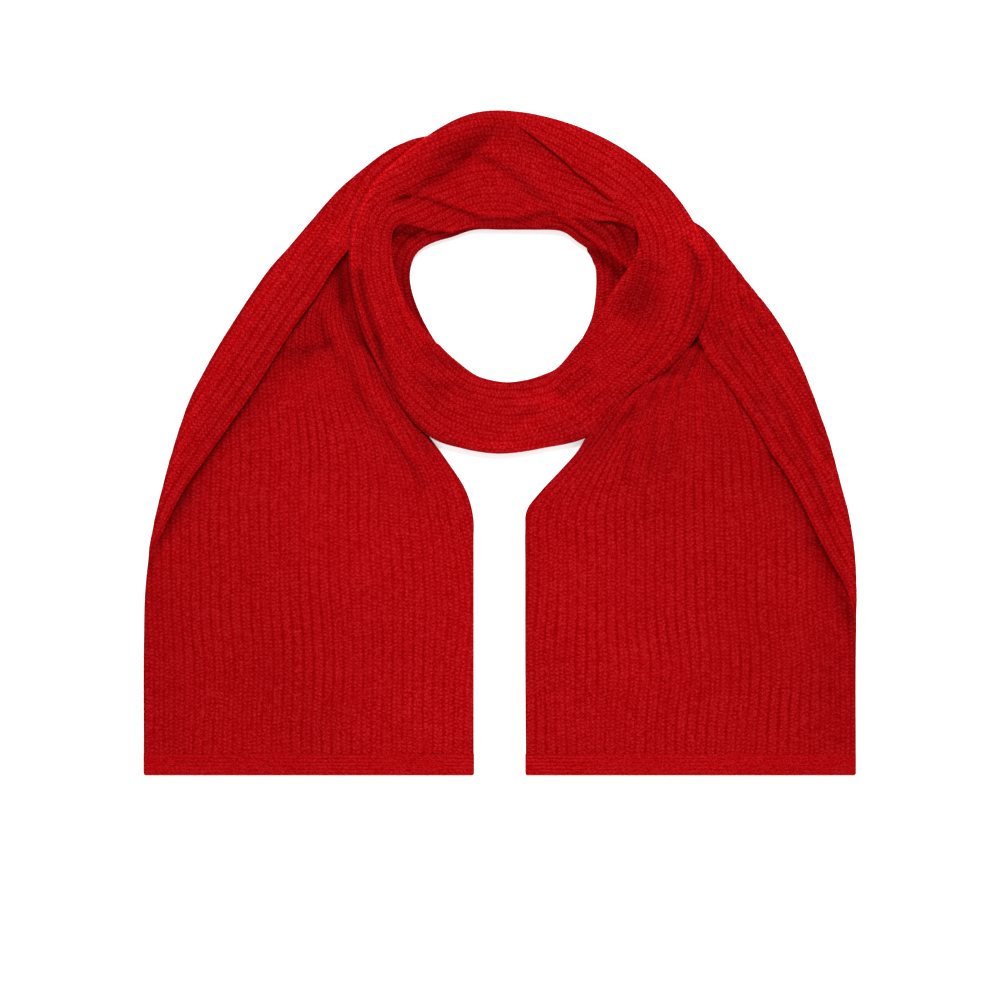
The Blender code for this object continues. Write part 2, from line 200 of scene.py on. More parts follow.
# places from 0 to length about a step apart, closer together over the first and last few millimetres
def spread(length, step, close=(0.0, 0.12, 0.45, 1.0, 1.7)):
    close = np.array(close)
    middle = np.linspace(close[-1], length - close[-1], max(3, int(round(length / step))))
    return np.concatenate([close[:-1], middle, (length - close[:-1])[::-1]]) / length


# a closed piece from rows of points over its top and back along its underside
def closedStrip(spec, top, back, uv, paintedShading, slotName="ribbed_knit", loop=False):
    name, nodes = spec["name"], spec["nodes"]
    rows, across = top.shape[:2]
    under = back.shape[1]
    ring = across + under
    points = np.concatenate([top, back], axis=1).reshape(-1, 3)
    # the underside point below each point of the top
    meet = under - 1 - np.round(np.linspace(0.0, under - 1.0, across)).astype(int)
    column = np.concatenate([np.arange(across), np.searchsorted(-meet, -np.arange(under))])
    uvs = uv[:, np.clip(column, 0, across - 1)].reshape(-1, 2)
    r = np.arange(rows if loop else rows - 1)[:, None]
    p, q = np.arange(ring)[None, :], (np.arange(ring)[None, :] + 1) % ring
    far = (r + 1) % rows * ring
    quads = np.stack(np.broadcast_arrays(r * ring + p, r * ring + q, far + q, far + p), -1).reshape(-1, 4)
    tris = np.zeros((0, 3), int)
    if not loop:
        i = np.arange(across - 1)
        fan = np.stack([i + 1, i, across + meet[i]], -1)
        stepped = i[meet[i] != meet[i + 1]]
        link = np.stack([stepped + 1, across + meet[stepped], across + meet[stepped + 1]], -1)
        cap = np.concatenate([fan, link])
        tris = np.concatenate([cap, cap[:, ::-1] + (rows - 1) * ring])
    a, b, c, d = (points[quads[:, k]] for k in range(4))
    volume = np.sum(a * np.cross(b, c)) + np.sum(a * np.cross(c, d))
    if volume < 0.0:
        quads, tris = quads[:, ::-1], tris[:, ::-1]
    mesh = bpy.data.meshes.new(name)
    mesh.from_pydata((points * mm).tolist(), [], quads.tolist() + tris.tolist())
    mesh.validate()
    loops = np.zeros(len(mesh.loops), int)
    mesh.loops.foreach_get("vertex_index", loops)
    mesh.uv_layers.new(name="knit").data.foreach_set("uv", uvs[loops].ravel())
    # painted shade and painted highlight for each point, kept as a point attribute
    depth = np.clip(paintedShading[:, np.clip(column, 0, across - 1)], *knit["paintedShadingLimits"])
    mesh.attributes.new("paintedShading", "FLOAT", "POINT").data.foreach_set("value", depth.ravel())
    mesh.shade_smooth()
    mesh.materials.append(looks[slotName])
    piece = bpy.data.objects.new(name, mesh)
    bpy.context.scene.collection.objects.link(piece)
    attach(piece, "root")
    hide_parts(*nodes)
    print("made", name, len(quads) * 2 + len(tris), "triangles")
    return piece


# knitted yarn: soft and matt, with painted shade in the folds and painted highlights on rims, stitches and
# a fine fuzz, from the piece's own knit map
def knitMaterial(name, spec):
    material = bpy.data.materials.new(name)
    material.use_nodes = True
    nodes, links = material.node_tree.nodes, material.node_tree.links
    shader = nodes["Principled BSDF"]

    def add(kind, **settings):
        node = nodes.new(kind)
        for key, value in settings.items():
            setattr(node, key, value)
        return node

    def calc(operation, first, second=0.0):
        node = add("ShaderNodeMath", operation=operation)
        for socket, value in zip(node.inputs, (first, second)):
            if isinstance(value, (int, float)):
                socket.default_value = value
            else:
                links.new(value, socket)
        return node.outputs[0]

    uvMap = add("ShaderNodeUVMap", uv_map="knit")
    split = add("ShaderNodeSeparateXYZ")
    links.new(uvMap.outputs["UV"], split.inputs[0])
    place = add("ShaderNodeTexCoord")
    ribs, courses = split.outputs[0], split.outputs[1]

    def noise(scale, detail):
        node = add("ShaderNodeTexNoise")
        node.inputs["Scale"].default_value = scale
        node.inputs["Detail"].default_value = detail
        links.new(place.outputs["Object"], node.inputs["Vector"])
        return node.outputs[0]

    def chance(first, second):
        node = add("ShaderNodeTexWhiteNoise", noise_dimensions="2D")
        join = add("ShaderNodeCombineXYZ")
        links.new(first, join.inputs[0])
        links.new(second, join.inputs[1])
        links.new(join.outputs[0], node.inputs["Vector"])
        return node.outputs["Value"]

    # every wale has its own start, and every stitch its own lightness
    wales = calc("MULTIPLY", ribs, 2.0)
    whichWale = calc("ROUND", wales)
    start = chance(whichWale, calc("MULTIPLY", whichWale, 0.37))
    pair = calc("COSINE", calc("MULTIPLY", calc("ADD", ribs, 0.25), turn))
    wale = calc("COSINE", calc("MULTIPLY", wales, turn))
    fromMiddle = calc("ABSOLUTE", calc("SUBTRACT", wales, whichWale))
    count = calc("SUBTRACT", calc("ADD", courses, start), calc("MULTIPLY", fromMiddle, spec["slant"]))
    stitch = calc("COSINE", calc("MULTIPLY", count, turn))
    oneStitch = chance(whichWale, calc("ROUND", count))
    onWale = calc("POWER", calc("ADD", calc("MULTIPLY", wale, 0.5), 0.5), 1.5)
    dot = calc("MULTIPLY", calc("ADD", stitch, 0.2), onWale)
    yarn = noise(620.0, 3.0)
    fuzz = noise(1300.0, 2.0)
    cloud = noise(22.0, 2.0)
    patch = calc("MULTIPLY", calc("SUBTRACT", noise(16.0, 1.0), 0.32), 3.0)  # where the ribs stand open

    # how light the yarn shows: lighter on ribs and stitches, as painted shade in the grooves between them,
    # and uneven from stitch to stitch
    light = calc("MULTIPLY", calc("MULTIPLY", pair, patch), spec["ribShade"])
    for share, centre, shade in (
        (wale, 0.0, "waleShade"),
        (dot, 0.0, "stitchShade"),
        (oneStitch, 0.5, "chanceShade"),
        (yarn, 0.5, "yarnShade"),
        (fuzz, 0.5, "fuzzShade"),
        (cloud, 0.5, "cloudShade"),
    ):
        light = calc("ADD", light, calc("MULTIPLY", calc("SUBTRACT", share, centre), spec[shade]))
    ramp = add("ShaderNodeValToRGB")
    ramp.color_ramp.elements[0].position = 0.0
    ramp.color_ramp.elements[0].color = (*spec["deep"], 1.0)
    ramp.color_ramp.elements[1].position = 1.0
    ramp.color_ramp.elements[1].color = (*spec["bright"], 1.0)
    middle = ramp.color_ramp.elements.new(0.5)
    middle.color = (*spec["body"], 1.0)
    links.new(calc("ADD", light, 0.5), ramp.inputs[0])
    # painted shade and painted highlight: the colour is scaled down in folds and up on rims by the piece's
    # attribute
    paintedShading = add("ShaderNodeAttribute", attribute_name="paintedShading")
    dim = add("ShaderNodeVectorMath", operation="SCALE")
    links.new(ramp.outputs[0], dim.inputs[0])
    links.new(calc("SUBTRACT", 1.0, paintedShading.outputs["Fac"]), dim.inputs["Scale"])
    links.new(dim.outputs[0], shader.inputs["Base Color"])

    bump = add("ShaderNodeBump")
    bump.inputs["Strength"].default_value = spec["bump"]
    bump.inputs["Distance"].default_value = 0.6 * mm
    relief = calc("ADD", calc("MULTIPLY", stitch, 0.5), calc("MULTIPLY", yarn, 0.8))
    relief = calc("ADD", relief, calc("MULTIPLY", fuzz, 0.5))
    links.new(relief, bump.inputs["Height"])
    links.new(bump.outputs[0], shader.inputs["Normal"])

    shader.inputs["Roughness"].default_value = 0.95
    shader.inputs["Specular IOR Level"].default_value = 0.0
    shader.inputs["Sheen Weight"].default_value = spec["sheen"]
    shader.inputs["Sheen Roughness"].default_value = 0.5
    shader.inputs["Sheen Tint"].default_value = (1.0, 0.012, 0.02, 1.0)
    return material


yarnLook = {
    "deep": (0.155, 0.0, 0.0),
    "body": (0.262, 0.0003, 0.0010),
    "bright": (0.385, 0.011, 0.016),
    "slant": 0.4,  # courses that a stitch's leg rises from the middle of its wale to the side
    # ribShade, waleShade and stitchShade paint shade into the grooves between ribs, wales and stitches;
    # chanceShade, yarnShade, fuzzShade and cloudShade are random tone
    "ribShade": 0.10,
    "waleShade": 0.06,
    "stitchShade": 0.18,
    "chanceShade": 0.12,
    "yarnShade": 0.8,
    "fuzzShade": 2.2,
    "cloudShade": 0.12,
    "bump": 0.6,
    "sheen": 0.25,
}
hemLook = {
    **yarnLook,
    "body": (0.312, 0.0006, 0.0014),
    "ribShade": 0.16,
    "waleShade": 0.04,
    "stitchShade": 0.08,
}
looks = {
    "ribbed_knit": knitMaterial("ribbedKnit", yarnLook),
    "hem_knit": knitMaterial("hemKnit", hemLook),
}
print("materials ready")


# the two ends, flat on the ground
flatEnds = {
    "rowStep": 1.25,
    "width": 279.5,
    "pointStep": 1.2,
    "backPoints": 28,
    "pleatHeight": 1.7,  # soft pleats a few ribs wide, where the cloth is gathered
    "pleatWidth": 29.0,
    "least": 1.4,  # height that no crease goes below
}
leftEnd = {
    "name": "leftEnd",
    "nodes": ["left_end"],
    "seed": 11,
    # y, outer side, selvedge beside the opening
    "outline": [
        (-264.4, -301.5, -22), (-166, -301.3, -22), (-125, -300.2, -22), (-106, -298.4, -22),
        (-92, -296.4, -22), (-80, -292.5, -22), (-65, -288, -22), (-39, -282, -29),
            (-14, -275, -45), (11, -267, -63),
        (37, -258, -76), (62, -246, -88), (84, -233, -99), (104, -220, -107),
        (129, -203, -113), (153, -184, -117), (172, -166, -118), (190, -152, -118),
    ],
    # y, then x of the ribs 0, 40, 80, 120, 160, 200, 240 and 280 mm in from that selvedge
    "ribs": [
        (-280, -21.7, -61.8, -101.7, -141.7, -181.7, -221.8, -261.7, -301.7),
        (-65, -21.7, -61.8, -101.7, -141.7, -181.7, -221.8, -261.7, -301.7),
        (-31, -33, -66.5, -103.7, -142.5, -182.2, -221.9, -261.6, -301.5),
        (5, -57, -82.6, -109.6, -145.1, -183.1, -222.8, -262.1, -302),
        (36, -78, -99, -122.3, -151, -185.6, -223.6, -259.9, -298),
        (70, -94, -110, -130, -156.9, -189, -223.6, -252, -284),
        (104, -107, -123, -140, -160.3, -183.1, -209.3, -233, -262),
        (138, -115, -127, -139, -151, -167, -186, -208, -232),
        (172, -118, -130, -141, -152, -163, -175, -189, -205),
        (190, -118, -128, -137, -146, -155, -165, -177, -190),
    ],
    # height, half width, line
    "folds": [
        (-3, 5, [(-160, 130), (-156, 123), (-152, 100), (-146, 83), (-135, 62), (-125, 42),
            (-110, 21), (-97, 3), (-77, -21), (-58, -46)]),
        (-1.8, 5, [(-130, 100), (-125, 96), (-113, 66), (-99, 41), (-86, 15), (-69, -7)]),
        (3.6, 7, [(-142, 112), (-137, 104), (-126, 77), (-113, 47), (-96, 20), (-79, -4), (-61, -31),
            (-50, -44)]),
        (-2.6, 6.5, [(-146, 160), (-140, 150), (-133, 121), (-127, 102), (-118, 85), (-108, 65)]),
        (5.5, 7, [(-112, 86), (-108, 75), (-100, 55), (-90, 34), (-80, 16), (-68, 2), (-58, -14)]),
        (-2, 11, [(-288, -104), (-268, -64), (-236, -16), (-206, 28), (-182, 64), (-168, 88)]),
        (1.6, 10, [(-216, -20), (-196, 20), (-176, 50)]),
        (1.5, 16, [(-160, 60), (-150, 20), (-140, -30)]),
        (-1.2, 12, [(-92, -30), (-84, -90), (-80, -160)]),
        (1.2, 14, [(-62, -70), (-56, -130), (-52, -200)]),
        (-1.4, 16, [(-285, -120), (-270, -180), (-262, -240)]),
        (1.2, 14, [(-232, -90), (-226, -150), (-222, -220)]),
        (-0.9, 12, [(-176, -120), (-172, -180), (-168, -230)]),
    ],
    # height, edge, reach, line with its raised side on the left
    "lifts": [
        (3.2, 2, 16, [(-156, 122), (-153, 102), (-149, 86), (-160, 77), (-176, 71)]),
    ],
    # strength of the painted shade, less than nothing for a painted highlight, half width, line
    "paintedShadingLines": [
        (0.62, 7, [(-133, 162), (-136, 150), (-133, 126)]),
        (0.42, 5, [(-132, 118), (-125, 100), (-118, 86)]),
        (0.22, 3.2, [(-114, 86), (-107, 70), (-99, 52), (-89, 35), (-78, 19), (-67, 6), (-60, -6)]),
        (0.1, 5, [(-154, 116), (-146, 83), (-135, 62), (-125, 42), (-110, 21), (-97, 3), (-77, -21),
            (-66, -36)]),
        (-0.06, 6, [(-126, 92), (-116, 66), (-104, 36), (-92, 14), (-78, -8)]),
        (0.16, 5.5, [(-290, -84), (-273, -52), (-248, -12), (-228, 16), (-208, 45), (-189, 76),
            (-170, 104), (-156, 124)]),
        (0.24, 5, [(-297, -104), (-291, -90), (-280, -68), (-264, -42)]),
        (0.16, 12, [(-280, -70), (-246, -14), (-206, 38), (-180, 72), (-160, 98)]),
        (0.34, 6, [(-164, 77), (-155, 80), (-145, 85)]),
        (0.2, 6, [(-182, 78), (-174, 77)]),
        (0.1, 24, [(-292, -120), (-288, -180), (-280, -250)]),
        (0.05, 50, [(-230, -80), (-240, -200)]),
        (-0.06, 44, [(-60, -90), (-60, -270)]),
        (-0.06, 40, [(-150, -60), (-120, -90)]),
        (0.07, 26, [(-190, -190), (-160, -250)]),
        (-0.07, 10, [(-26, -100), (-26, -240)]),
    ],
}
rightEnd = {
    "name": "rightEnd",
    "nodes": ["right_end"],
    "seed": 23,
    "outline": [
        (-264.4, 301.5, 22), (-172, 301.6, 21.5), (-150, 301.8, 21.5), (-138, 301, 21.5),
            (-129, 298.5, 21.5),
        (-99, 295, 21.5), (-73, 292, 21.5), (-56, 289, 23), (-39, 285.5, 36),
        (-23, 281.5, 51), (-6, 276, 66), (11, 271, 76), (37, 262.5, 98),
        (62, 252.5, 130), (87, 239.5, 153), (113, 222.5, 164),
    ],
    "ribs": [
        (-280, 21.7, 61.8, 101.7, 141.8, 181.7, 221.8, 261.7, 301.7),
        (-99, 21.7, 61.8, 101.7, 141.8, 181.7, 221.8, 261.7, 301.7),
        (-48, 29.8, 65.2, 102.4, 141.3, 180.5, 219.8, 259.5, 299),
        (-14, 58.5, 83.8, 110, 143, 179.3, 217.3, 256.1, 295),
        (11, 78, 99, 121, 147.2, 178.4, 213.1, 249.4, 288),
        (36, 98, 115, 131.1, 150.6, 175.1, 204.6, 236.7, 272),
        (62, 124, 134, 144, 157.5, 174.4, 197, 224, 256),
        (83, 145, 152, 159, 168, 179, 194, 213, 238),
        (113, 158, 165, 172, 180, 190, 202, 216, 232),
    ],
    "folds": [
        (-1.6, 6, [(58, -30), (75, -12), (92, 4), (106, 16), (120, 28)]),
        (6.5, 8, [(62, -16), (78, 4), (97, 25), (119, 43), (146, 60), (162, 76), (176, 96)]),
        (-3, 4, [(156, 92), (161, 88), (166, 85), (171, 80), (176, 74)]),
        (-1.2, 4, [(122, 50), (132, 54), (142, 58), (154, 62)]),
        (1.2, 7, [(96, 16), (112, 28), (130, 42), (146, 50), (158, 60)]),
        (-1, 9, [(172, 74), (190, 46), (212, 10), (226, -14)]),
        (-2.6, 9, [(208, 16), (222, -8), (244, -46), (264, -86), (282, -126), (294, -170)]),
        (-1.6, 20, [(246, -70), (260, -120), (266, -180)]),
        (1.8, 5, [(142, 54), (138, 20), (134, -30)]),
        (-1.8, 4, [(134, 50), (130, 20), (127, -20), (125, -50)]),
        (1.6, 4.5, [(124, 40), (119, 4), (115, -40)]),
        (-1.4, 4, [(113, 30), (108, -4), (105, -40)]),
        (-1.5, 4, [(150, 54), (147, 20), (144, -30)]),
        (1.6, 5, [(160, 56), (158, 10), (156, -50)]),
        (-0.8, 12, [(96, -12), (74, -32), (62, -60)]),
        (1.2, 14, [(56, -80), (50, -140), (48, -210)]),
        (0.9, 9, [(178, 50), (182, 0), (186, -60)]),
        (-1, 9, [(196, 10), (208, -50), (216, -120)]),
        (1.1, 12, [(232, -110), (236, -170), (238, -230)]),
        (-1.3, 14, [(280, -180), (284, -220), (286, -250)]),
    ],
    "lifts": [],
    "paintedShadingLines": [
        (0.28, 8, [(297, -146), (281, -110), (268, -86)]),
        (0.15, 7, [(264, -80), (252, -56), (239, -32), (226, -12)]),
        (0.06, 16, [(280, -130), (258, -84), (236, -44), (214, -6)]),
        (0.1, 4, [(214, 12), (194, 46), (175, 74)]),
        (0.05, 50, [(190, 10), (220, -110), (240, -220)]),
        (0.05, 14, [(178, 40), (184, 10), (190, -30)]),
        (0.12, 6, [(178, 74), (180, 60)]),
        (0.66, 4.2, [(163, 88), (166, 86), (169, 82)]),
        (0.14, 5, [(172, 78), (160, 68), (148, 60)]),
        (0.34, 4, [(136, 57), (140, 59), (144, 60)]),
        (0.06, 3.5, [(84, 8), (94, 20), (106, 34)]),
        (-0.13, 7, [(122, 36), (134, 44), (148, 54)]),
        (-0.14, 5, [(102, 22), (108, 34), (112, 46)]),
        (0.12, 5, [(76, 2), (90, 14), (102, 26)]),
        (0.12, 4, [(70, -22), (84, -8), (98, 2)]),
        (0.12, 2.6, [(134, 48), (131, 20), (128, -20)]),
        (0.12, 2.6, [(150, 50), (147, 20), (145, -24)]),
        (-0.14, 2, [(136, 54), (135, 40), (134, 20)]),
        (-0.16, 1.8, [(147, 56), (148, 34), (145, 22)]),
        (-0.16, 1.8, [(160, 62), (168, 53), (170, 28), (168, 12)]),
        (0.16, 3, [(113, 30), (109, -2), (106, -34)]),
        (0.16, 3, [(297, -136), (298.5, -165), (299.5, -195)]),
        (0.1, 5, [(290, -130), (294, -160)]),
        (0.12, 26, [(284, -170), (284, -250)]),
        (0.06, 24, [(120, -60), (140, -10)]),
        (-0.05, 34, [(60, -120), (110, -190)]),
        (0.05, 6, [(24, -90), (24, -200)]),
    ],
}


# a flat end: straight rows across from the selvedge to the outer side, the ribs fanned as in its table
def makeEnd(spec):
    low, high = spec["outline"][0][0], spec["outline"][-1][0]
    y = np.linspace(low, high, int((high - low) / flatEnds["rowStep"]))
    sides = through(spec["outline"], y)
    outer, inner = sides[:, :1], sides[:, 1:]
    s = spread(flatEnds["width"], flatEnds["pointStep"])[None, :]
    x = inner + (outer - inner) * s
    depth = np.broadcast_to(y[:, None], x.shape)
    marks = through(spec["ribs"], y)
    nearSide = np.abs(x)
    u = np.stack([
        through(np.column_stack([np.abs(row), np.arange(0.0, 281.0, 40.0)]), across)[:, 0]
        for row, across in zip(marks, nearSide)
    ])
    seed = spec["seed"]
    # 1 where the cloth lies flat, more where it is gathered
    crowd = np.abs(np.gradient(u, axis=1) / np.gradient(x, axis=1))
    wander = 3.2 * streaks(u, depth, 150.0, 64.0, seed + 11)
    u = u + wander + 1.1 * drift(u, depth, 38.0, seed) + 0.3 * drift(u, depth, 9.0, seed + 1)
    v = depth + 1.0 * drift(x, depth, 26.0, seed + 2) + 0.35 * drift(x, depth, 8.0, seed + 3)
    strength = 0.65 + 0.25 * drift(x, depth, 45.0, seed + 4) + 0.15 * drift(x, depth, 12.0, seed + 5)
    unevenness = 0.9 * drift(x, depth, 70.0, seed + 6) + 0.4 * drift(x, depth, 24.0, seed + 7)
    z = knit["cloth"] + unevenness * ease(-264.0, -235.0, depth)
    z += folds(x, depth, spec["folds"]) + lifts(x, depth, spec["lifts"])
    pleat = np.sin(turn * u / flatEnds["pleatWidth"] + 1.5 * drift(x, depth, 50.0, seed + 8))
    z += flatEnds["pleatHeight"] * np.clip(crowd - 1.2, 0.0, 1.0) * pleat
    edge = np.minimum(np.abs(x - inner), np.abs(x - outer))
    pairs = np.clip(0.5 + 0.7 * streaks(u, depth, 14.0, 90.0, seed + 9) + 0.6 * (crowd - 1.0), 0.1, 2.0)
    z += knitRelief(u, v, strength, pairs) * ease(0.0, 2.5, edge)
    z += 0.25 * streaks(u, depth, 7.0, 60.0, seed + 10)
    z = np.maximum(z, flatEnds["least"]) - edgeSink(edge, knit["edgeRound"])
    z = z - 1.5 * ease(-262.9, -264.2, depth)  # in under the hem
    top = np.stack([x, depth, z], -1)
    under = np.linspace(1.0, 0.0, flatEnds["backPoints"])[None, :]
    backX = inner + (outer - inner) * (0.003 + 0.994 * under)
    back = np.stack([backX, np.broadcast_to(y[:, None], backX.shape), np.zeros(backX.shape)], -1)
    # painted shade in the creases, under the folded edges and along every edge, with painted highlights on
    # some rims
    paintedShading = paintedShadingLines(x, depth, spec["paintedShadingLines"]) + 0.10 * ease(4.0, 0.0, edge)
    return closedStrip(spec, top, back, knitPlace(u, v), paintedShading)


leftEndPiece = makeEnd(leftEnd)
rightEndPiece = makeEnd(rightEnd)


# the turned-up bands across the feet of the ends
hem = {
    "near": 21.6,
    "far": 301.6,
    "foot": -281.0,
    "seam": -262.6,
    "height": 3.4,
    "corner": 2.2,
    "rib": 3.1,  # finer than the ends, and along the band
    "stitch": 4.2,
    "close": (0.0, 0.12, 0.35, 0.7, 1.2, 1.9, 2.8, 4.0),  # places of the first points round its corner
    # painted shade, darker towards the outer ends of the band
    "paintedShadingLines": [
        (0.07, 60, [(-300, -272), (-190, -272)]),
        (0.08, 36, [(268, -272), (300, -272)]),
    ],
}


# a hem: rows along x, each over the band from the seam down to its rounded foot
def makeHem(spec, side):
    length, corner = hem["far"] - hem["near"], hem["corner"]
    along = spread(length, 1.1, hem["close"]) * length
    toEnd = np.minimum(along, along[-1] - along)
    cut = corner - np.sqrt(np.maximum(corner**2 - np.clip(corner - toEnd, 0.0, None) ** 2, 0.0))
    x = side * (hem["near"] + along)
    depth = hem["seam"] - hem["foot"]
    s = spread(depth, 0.62)[None, :]
    foot = hem["foot"] + cut[:, None]
    y = hem["seam"] + (foot - hem["seam"]) * s
    xs = np.broadcast_to(x[:, None], y.shape)
    edge = np.minimum(np.minimum(hem["seam"] - y, y - foot), toEnd[:, None])
    z = hem["height"] + 0.3 * drift(xs, y, 30.0, 41) - 0.2 * ease(4.0, 0.0, hem["seam"] - y)
    # knitted sideways: its ribs run along the band
    u = hem["seam"] - y + 0.3 * drift(xs, y, 20.0, 42)
    v = xs + 0.5 * drift(xs, y, 9.0, 43)
    z = z + 0.22 * np.cos(turn * u / hem["rib"]) * ease(0.0, 2.0, edge)
    z += 0.06 * np.cos(turn * (v / hem["stitch"] + 0.5 * np.floor(u / hem["rib"]))) * ease(0.0, 2.0, edge)
    outer = np.minimum(y - foot, toEnd[:, None])
    z -= np.maximum(edgeSink(outer, 2.0), edgeSink(hem["seam"] - y, 0.4))
    top = np.stack([xs, y, z], -1)
    under = np.linspace(1.0, 0.0, 8)[None, :]
    backY = hem["seam"] - 0.8 + (foot + 0.8 - (hem["seam"] - 0.8)) * under
    backX = side * (hem["near"] + np.clip(along, 0.8, along[-1] - 0.8))[:, None]
    back = np.stack([np.broadcast_to(backX, backY.shape), backY, np.zeros(backY.shape)], -1)
    uv = np.stack([u / hem["rib"], v / hem["stitch"]], -1)
    return closedStrip(spec, top, back, uv, paintedShadingLines(xs, y, hem["paintedShadingLines"]), "hem_knit")


leftHemPiece = makeHem({"name": "leftHem", "nodes": ["left_hem"]}, -1.0)
rightHemPiece = makeHem({"name": "rightHem", "nodes": ["right_hem"]}, 1.0)


# the outer edges of the ends, folded over to the front
foldedEdges = {
    "rowStep": 1.5,
    "pointStep": 0.86,
    "twoLayers": 6.3,  # height of a fold at most where it turns
    "edgeRound": 1.6,
    "backPoints": 16,
    "thick": 2.9,
}
leftFold = {
    "name": "leftFold",
    "nodes": ["left_folded_edge"],
    "seed": 51,
    "edgeLift": 4.0,
    "tuck": (310.0, 360.0, 0.8),  # from and to how far up the fold, and how much of the lift it takes away
    # fold line x y, inner edge x y, top
    "path": [
        (-297.8, -106, -296.9, -106, 2.6),
        (-297, -92, -293, -91, 4.8),
        (-294.5, -76, -285, -75, 5.6),
        (-287, -43, -270, -45, 6.3),
        (-274, 4, -247, -11, 6.3),
        (-262, 38, -227, 17, 6.3),
        (-246, 69, -207, 45.5, 6.3),
        (-226, 102, -187.5, 76.5, 6.3),
        (-207, 131, -169, 105, 6.3),
        (-194, 149, -155, 124, 6.3),
        (-177, 168, -140, 148, 6.3),
        (-160, 188, -123, 170, 6.4),
        (-137, 214, -112, 192, 7.4),
        (-116, 232, -99, 216, 8.8),
        (-88, 251.5, -78, 234, 8.8),
        (-65, 259.5, -58, 250, 8),
        (-46, 262, -43, 253, 7),
    ],
    "folds": [
        (-1, 5, [(-258, 10), (-236, 44), (-214, 78), (-190, 110)]),
        (0.8, 5, [(-250, 12), (-228, 46), (-206, 76)]),
    ],
    "paintedShadingLines": [
        (-0.16, 4, [(-284, -40), (-262, 18), (-226, 84), (-190, 136), (-150, 186)]),
        (0.1, 4, [(-246, 4), (-226, 34), (-203, 68), (-181, 102)]),
        (-0.26, 7, [(-140, 172), (-126, 190), (-114, 210), (-99, 230), (-80, 248)]),
    ],
}
pleats = {  # lines along the right folded edge, used by its folds and its hollows
    "near": [(186, 104), (206, 80), (226, 52), (246, 16), (264, -22), (278, -60)],
    "ridge": [(196, 112), (216, 86), (238, 54), (256, 18), (272, -22)],
    "middle": [(204, 122), (226, 94), (248, 58), (264, 24), (277, -14)],
    "far": [(222, 118), (242, 88), (260, 54)],
}
rightFold = {
    "name": "rightFold",
    "nodes": ["right_folded_edge"],
    "seed": 67,
    "edgeLift": 4.0,
    "tuck": (110.0, 190.0, 0.92),
    "path": [
        (301.3, -158, 300.4, -158, 2.6),
        (301.9, -141, 299, -142, 4.6),
        (302, -122, 293.5, -125, 5.8),
        (300, -88, 280, -100, 6.3),
        (294.6, -56, 266, -73, 6.3),
        (287, -28, 254, -48, 6.3),
        (280, -1, 241, -25, 6.3),
        (273, 20, 228, -6, 6.3),
        (265, 42, 217, 14, 5.8),
        (249, 80, 194, 48, 5.2),
        (230, 111, 173, 77, 5.2),
        (207, 140, 164, 112, 5.8),
        (190, 162, 165, 144, 6.3),
        (174, 181, 160, 170, 6.3),
        (160, 190, 150, 178, 6),
    ],
    "folds": [
        (-2.4, 4, pleats["near"]),
        (1.6, 4, pleats["ridge"]),
        (-2.2, 3.6, pleats["middle"]),
        (1.2, 4, [(214, 126), (236, 94), (256, 60), (270, 26)]),
        (-1.4, 3.4, pleats["far"]),
    ],
    "paintedShadingLines": [
        (0.28, 2.4, pleats["near"]),
        (0.26, 2.4, pleats["middle"]),
        (0.2, 2.4, pleats["far"]),
        (-0.14, 2.4, pleats["ridge"]),
        (0.05, 7, [(174, 150), (181, 132), (181, 112), (172, 92)]),
        (0.1, 8, [(180, 96), (200, 70), (222, 38)]),
        (0.08, 8, [(206, 96), (228, 70)]),
        (0.12, 8, [(184, 92), (198, 66)]),
        (-0.1, 8, [(238, 84), (256, 50), (266, 22)]),
        (-0.12, 4, [(298, -124), (300, -150)]),
        (0.1, 5, [(214, 34), (230, 14), (246, -12)]),
        (0.11, 7, [(216, 38), (240, 4), (258, -28), (272, -60), (284, -95), (291, -130)]),
        (0.08, 6, [(186, 118), (206, 100), (226, 82)]),
        (0.1, 5, [(238, 52), (246, 36), (254, 18)]),
    ],
}


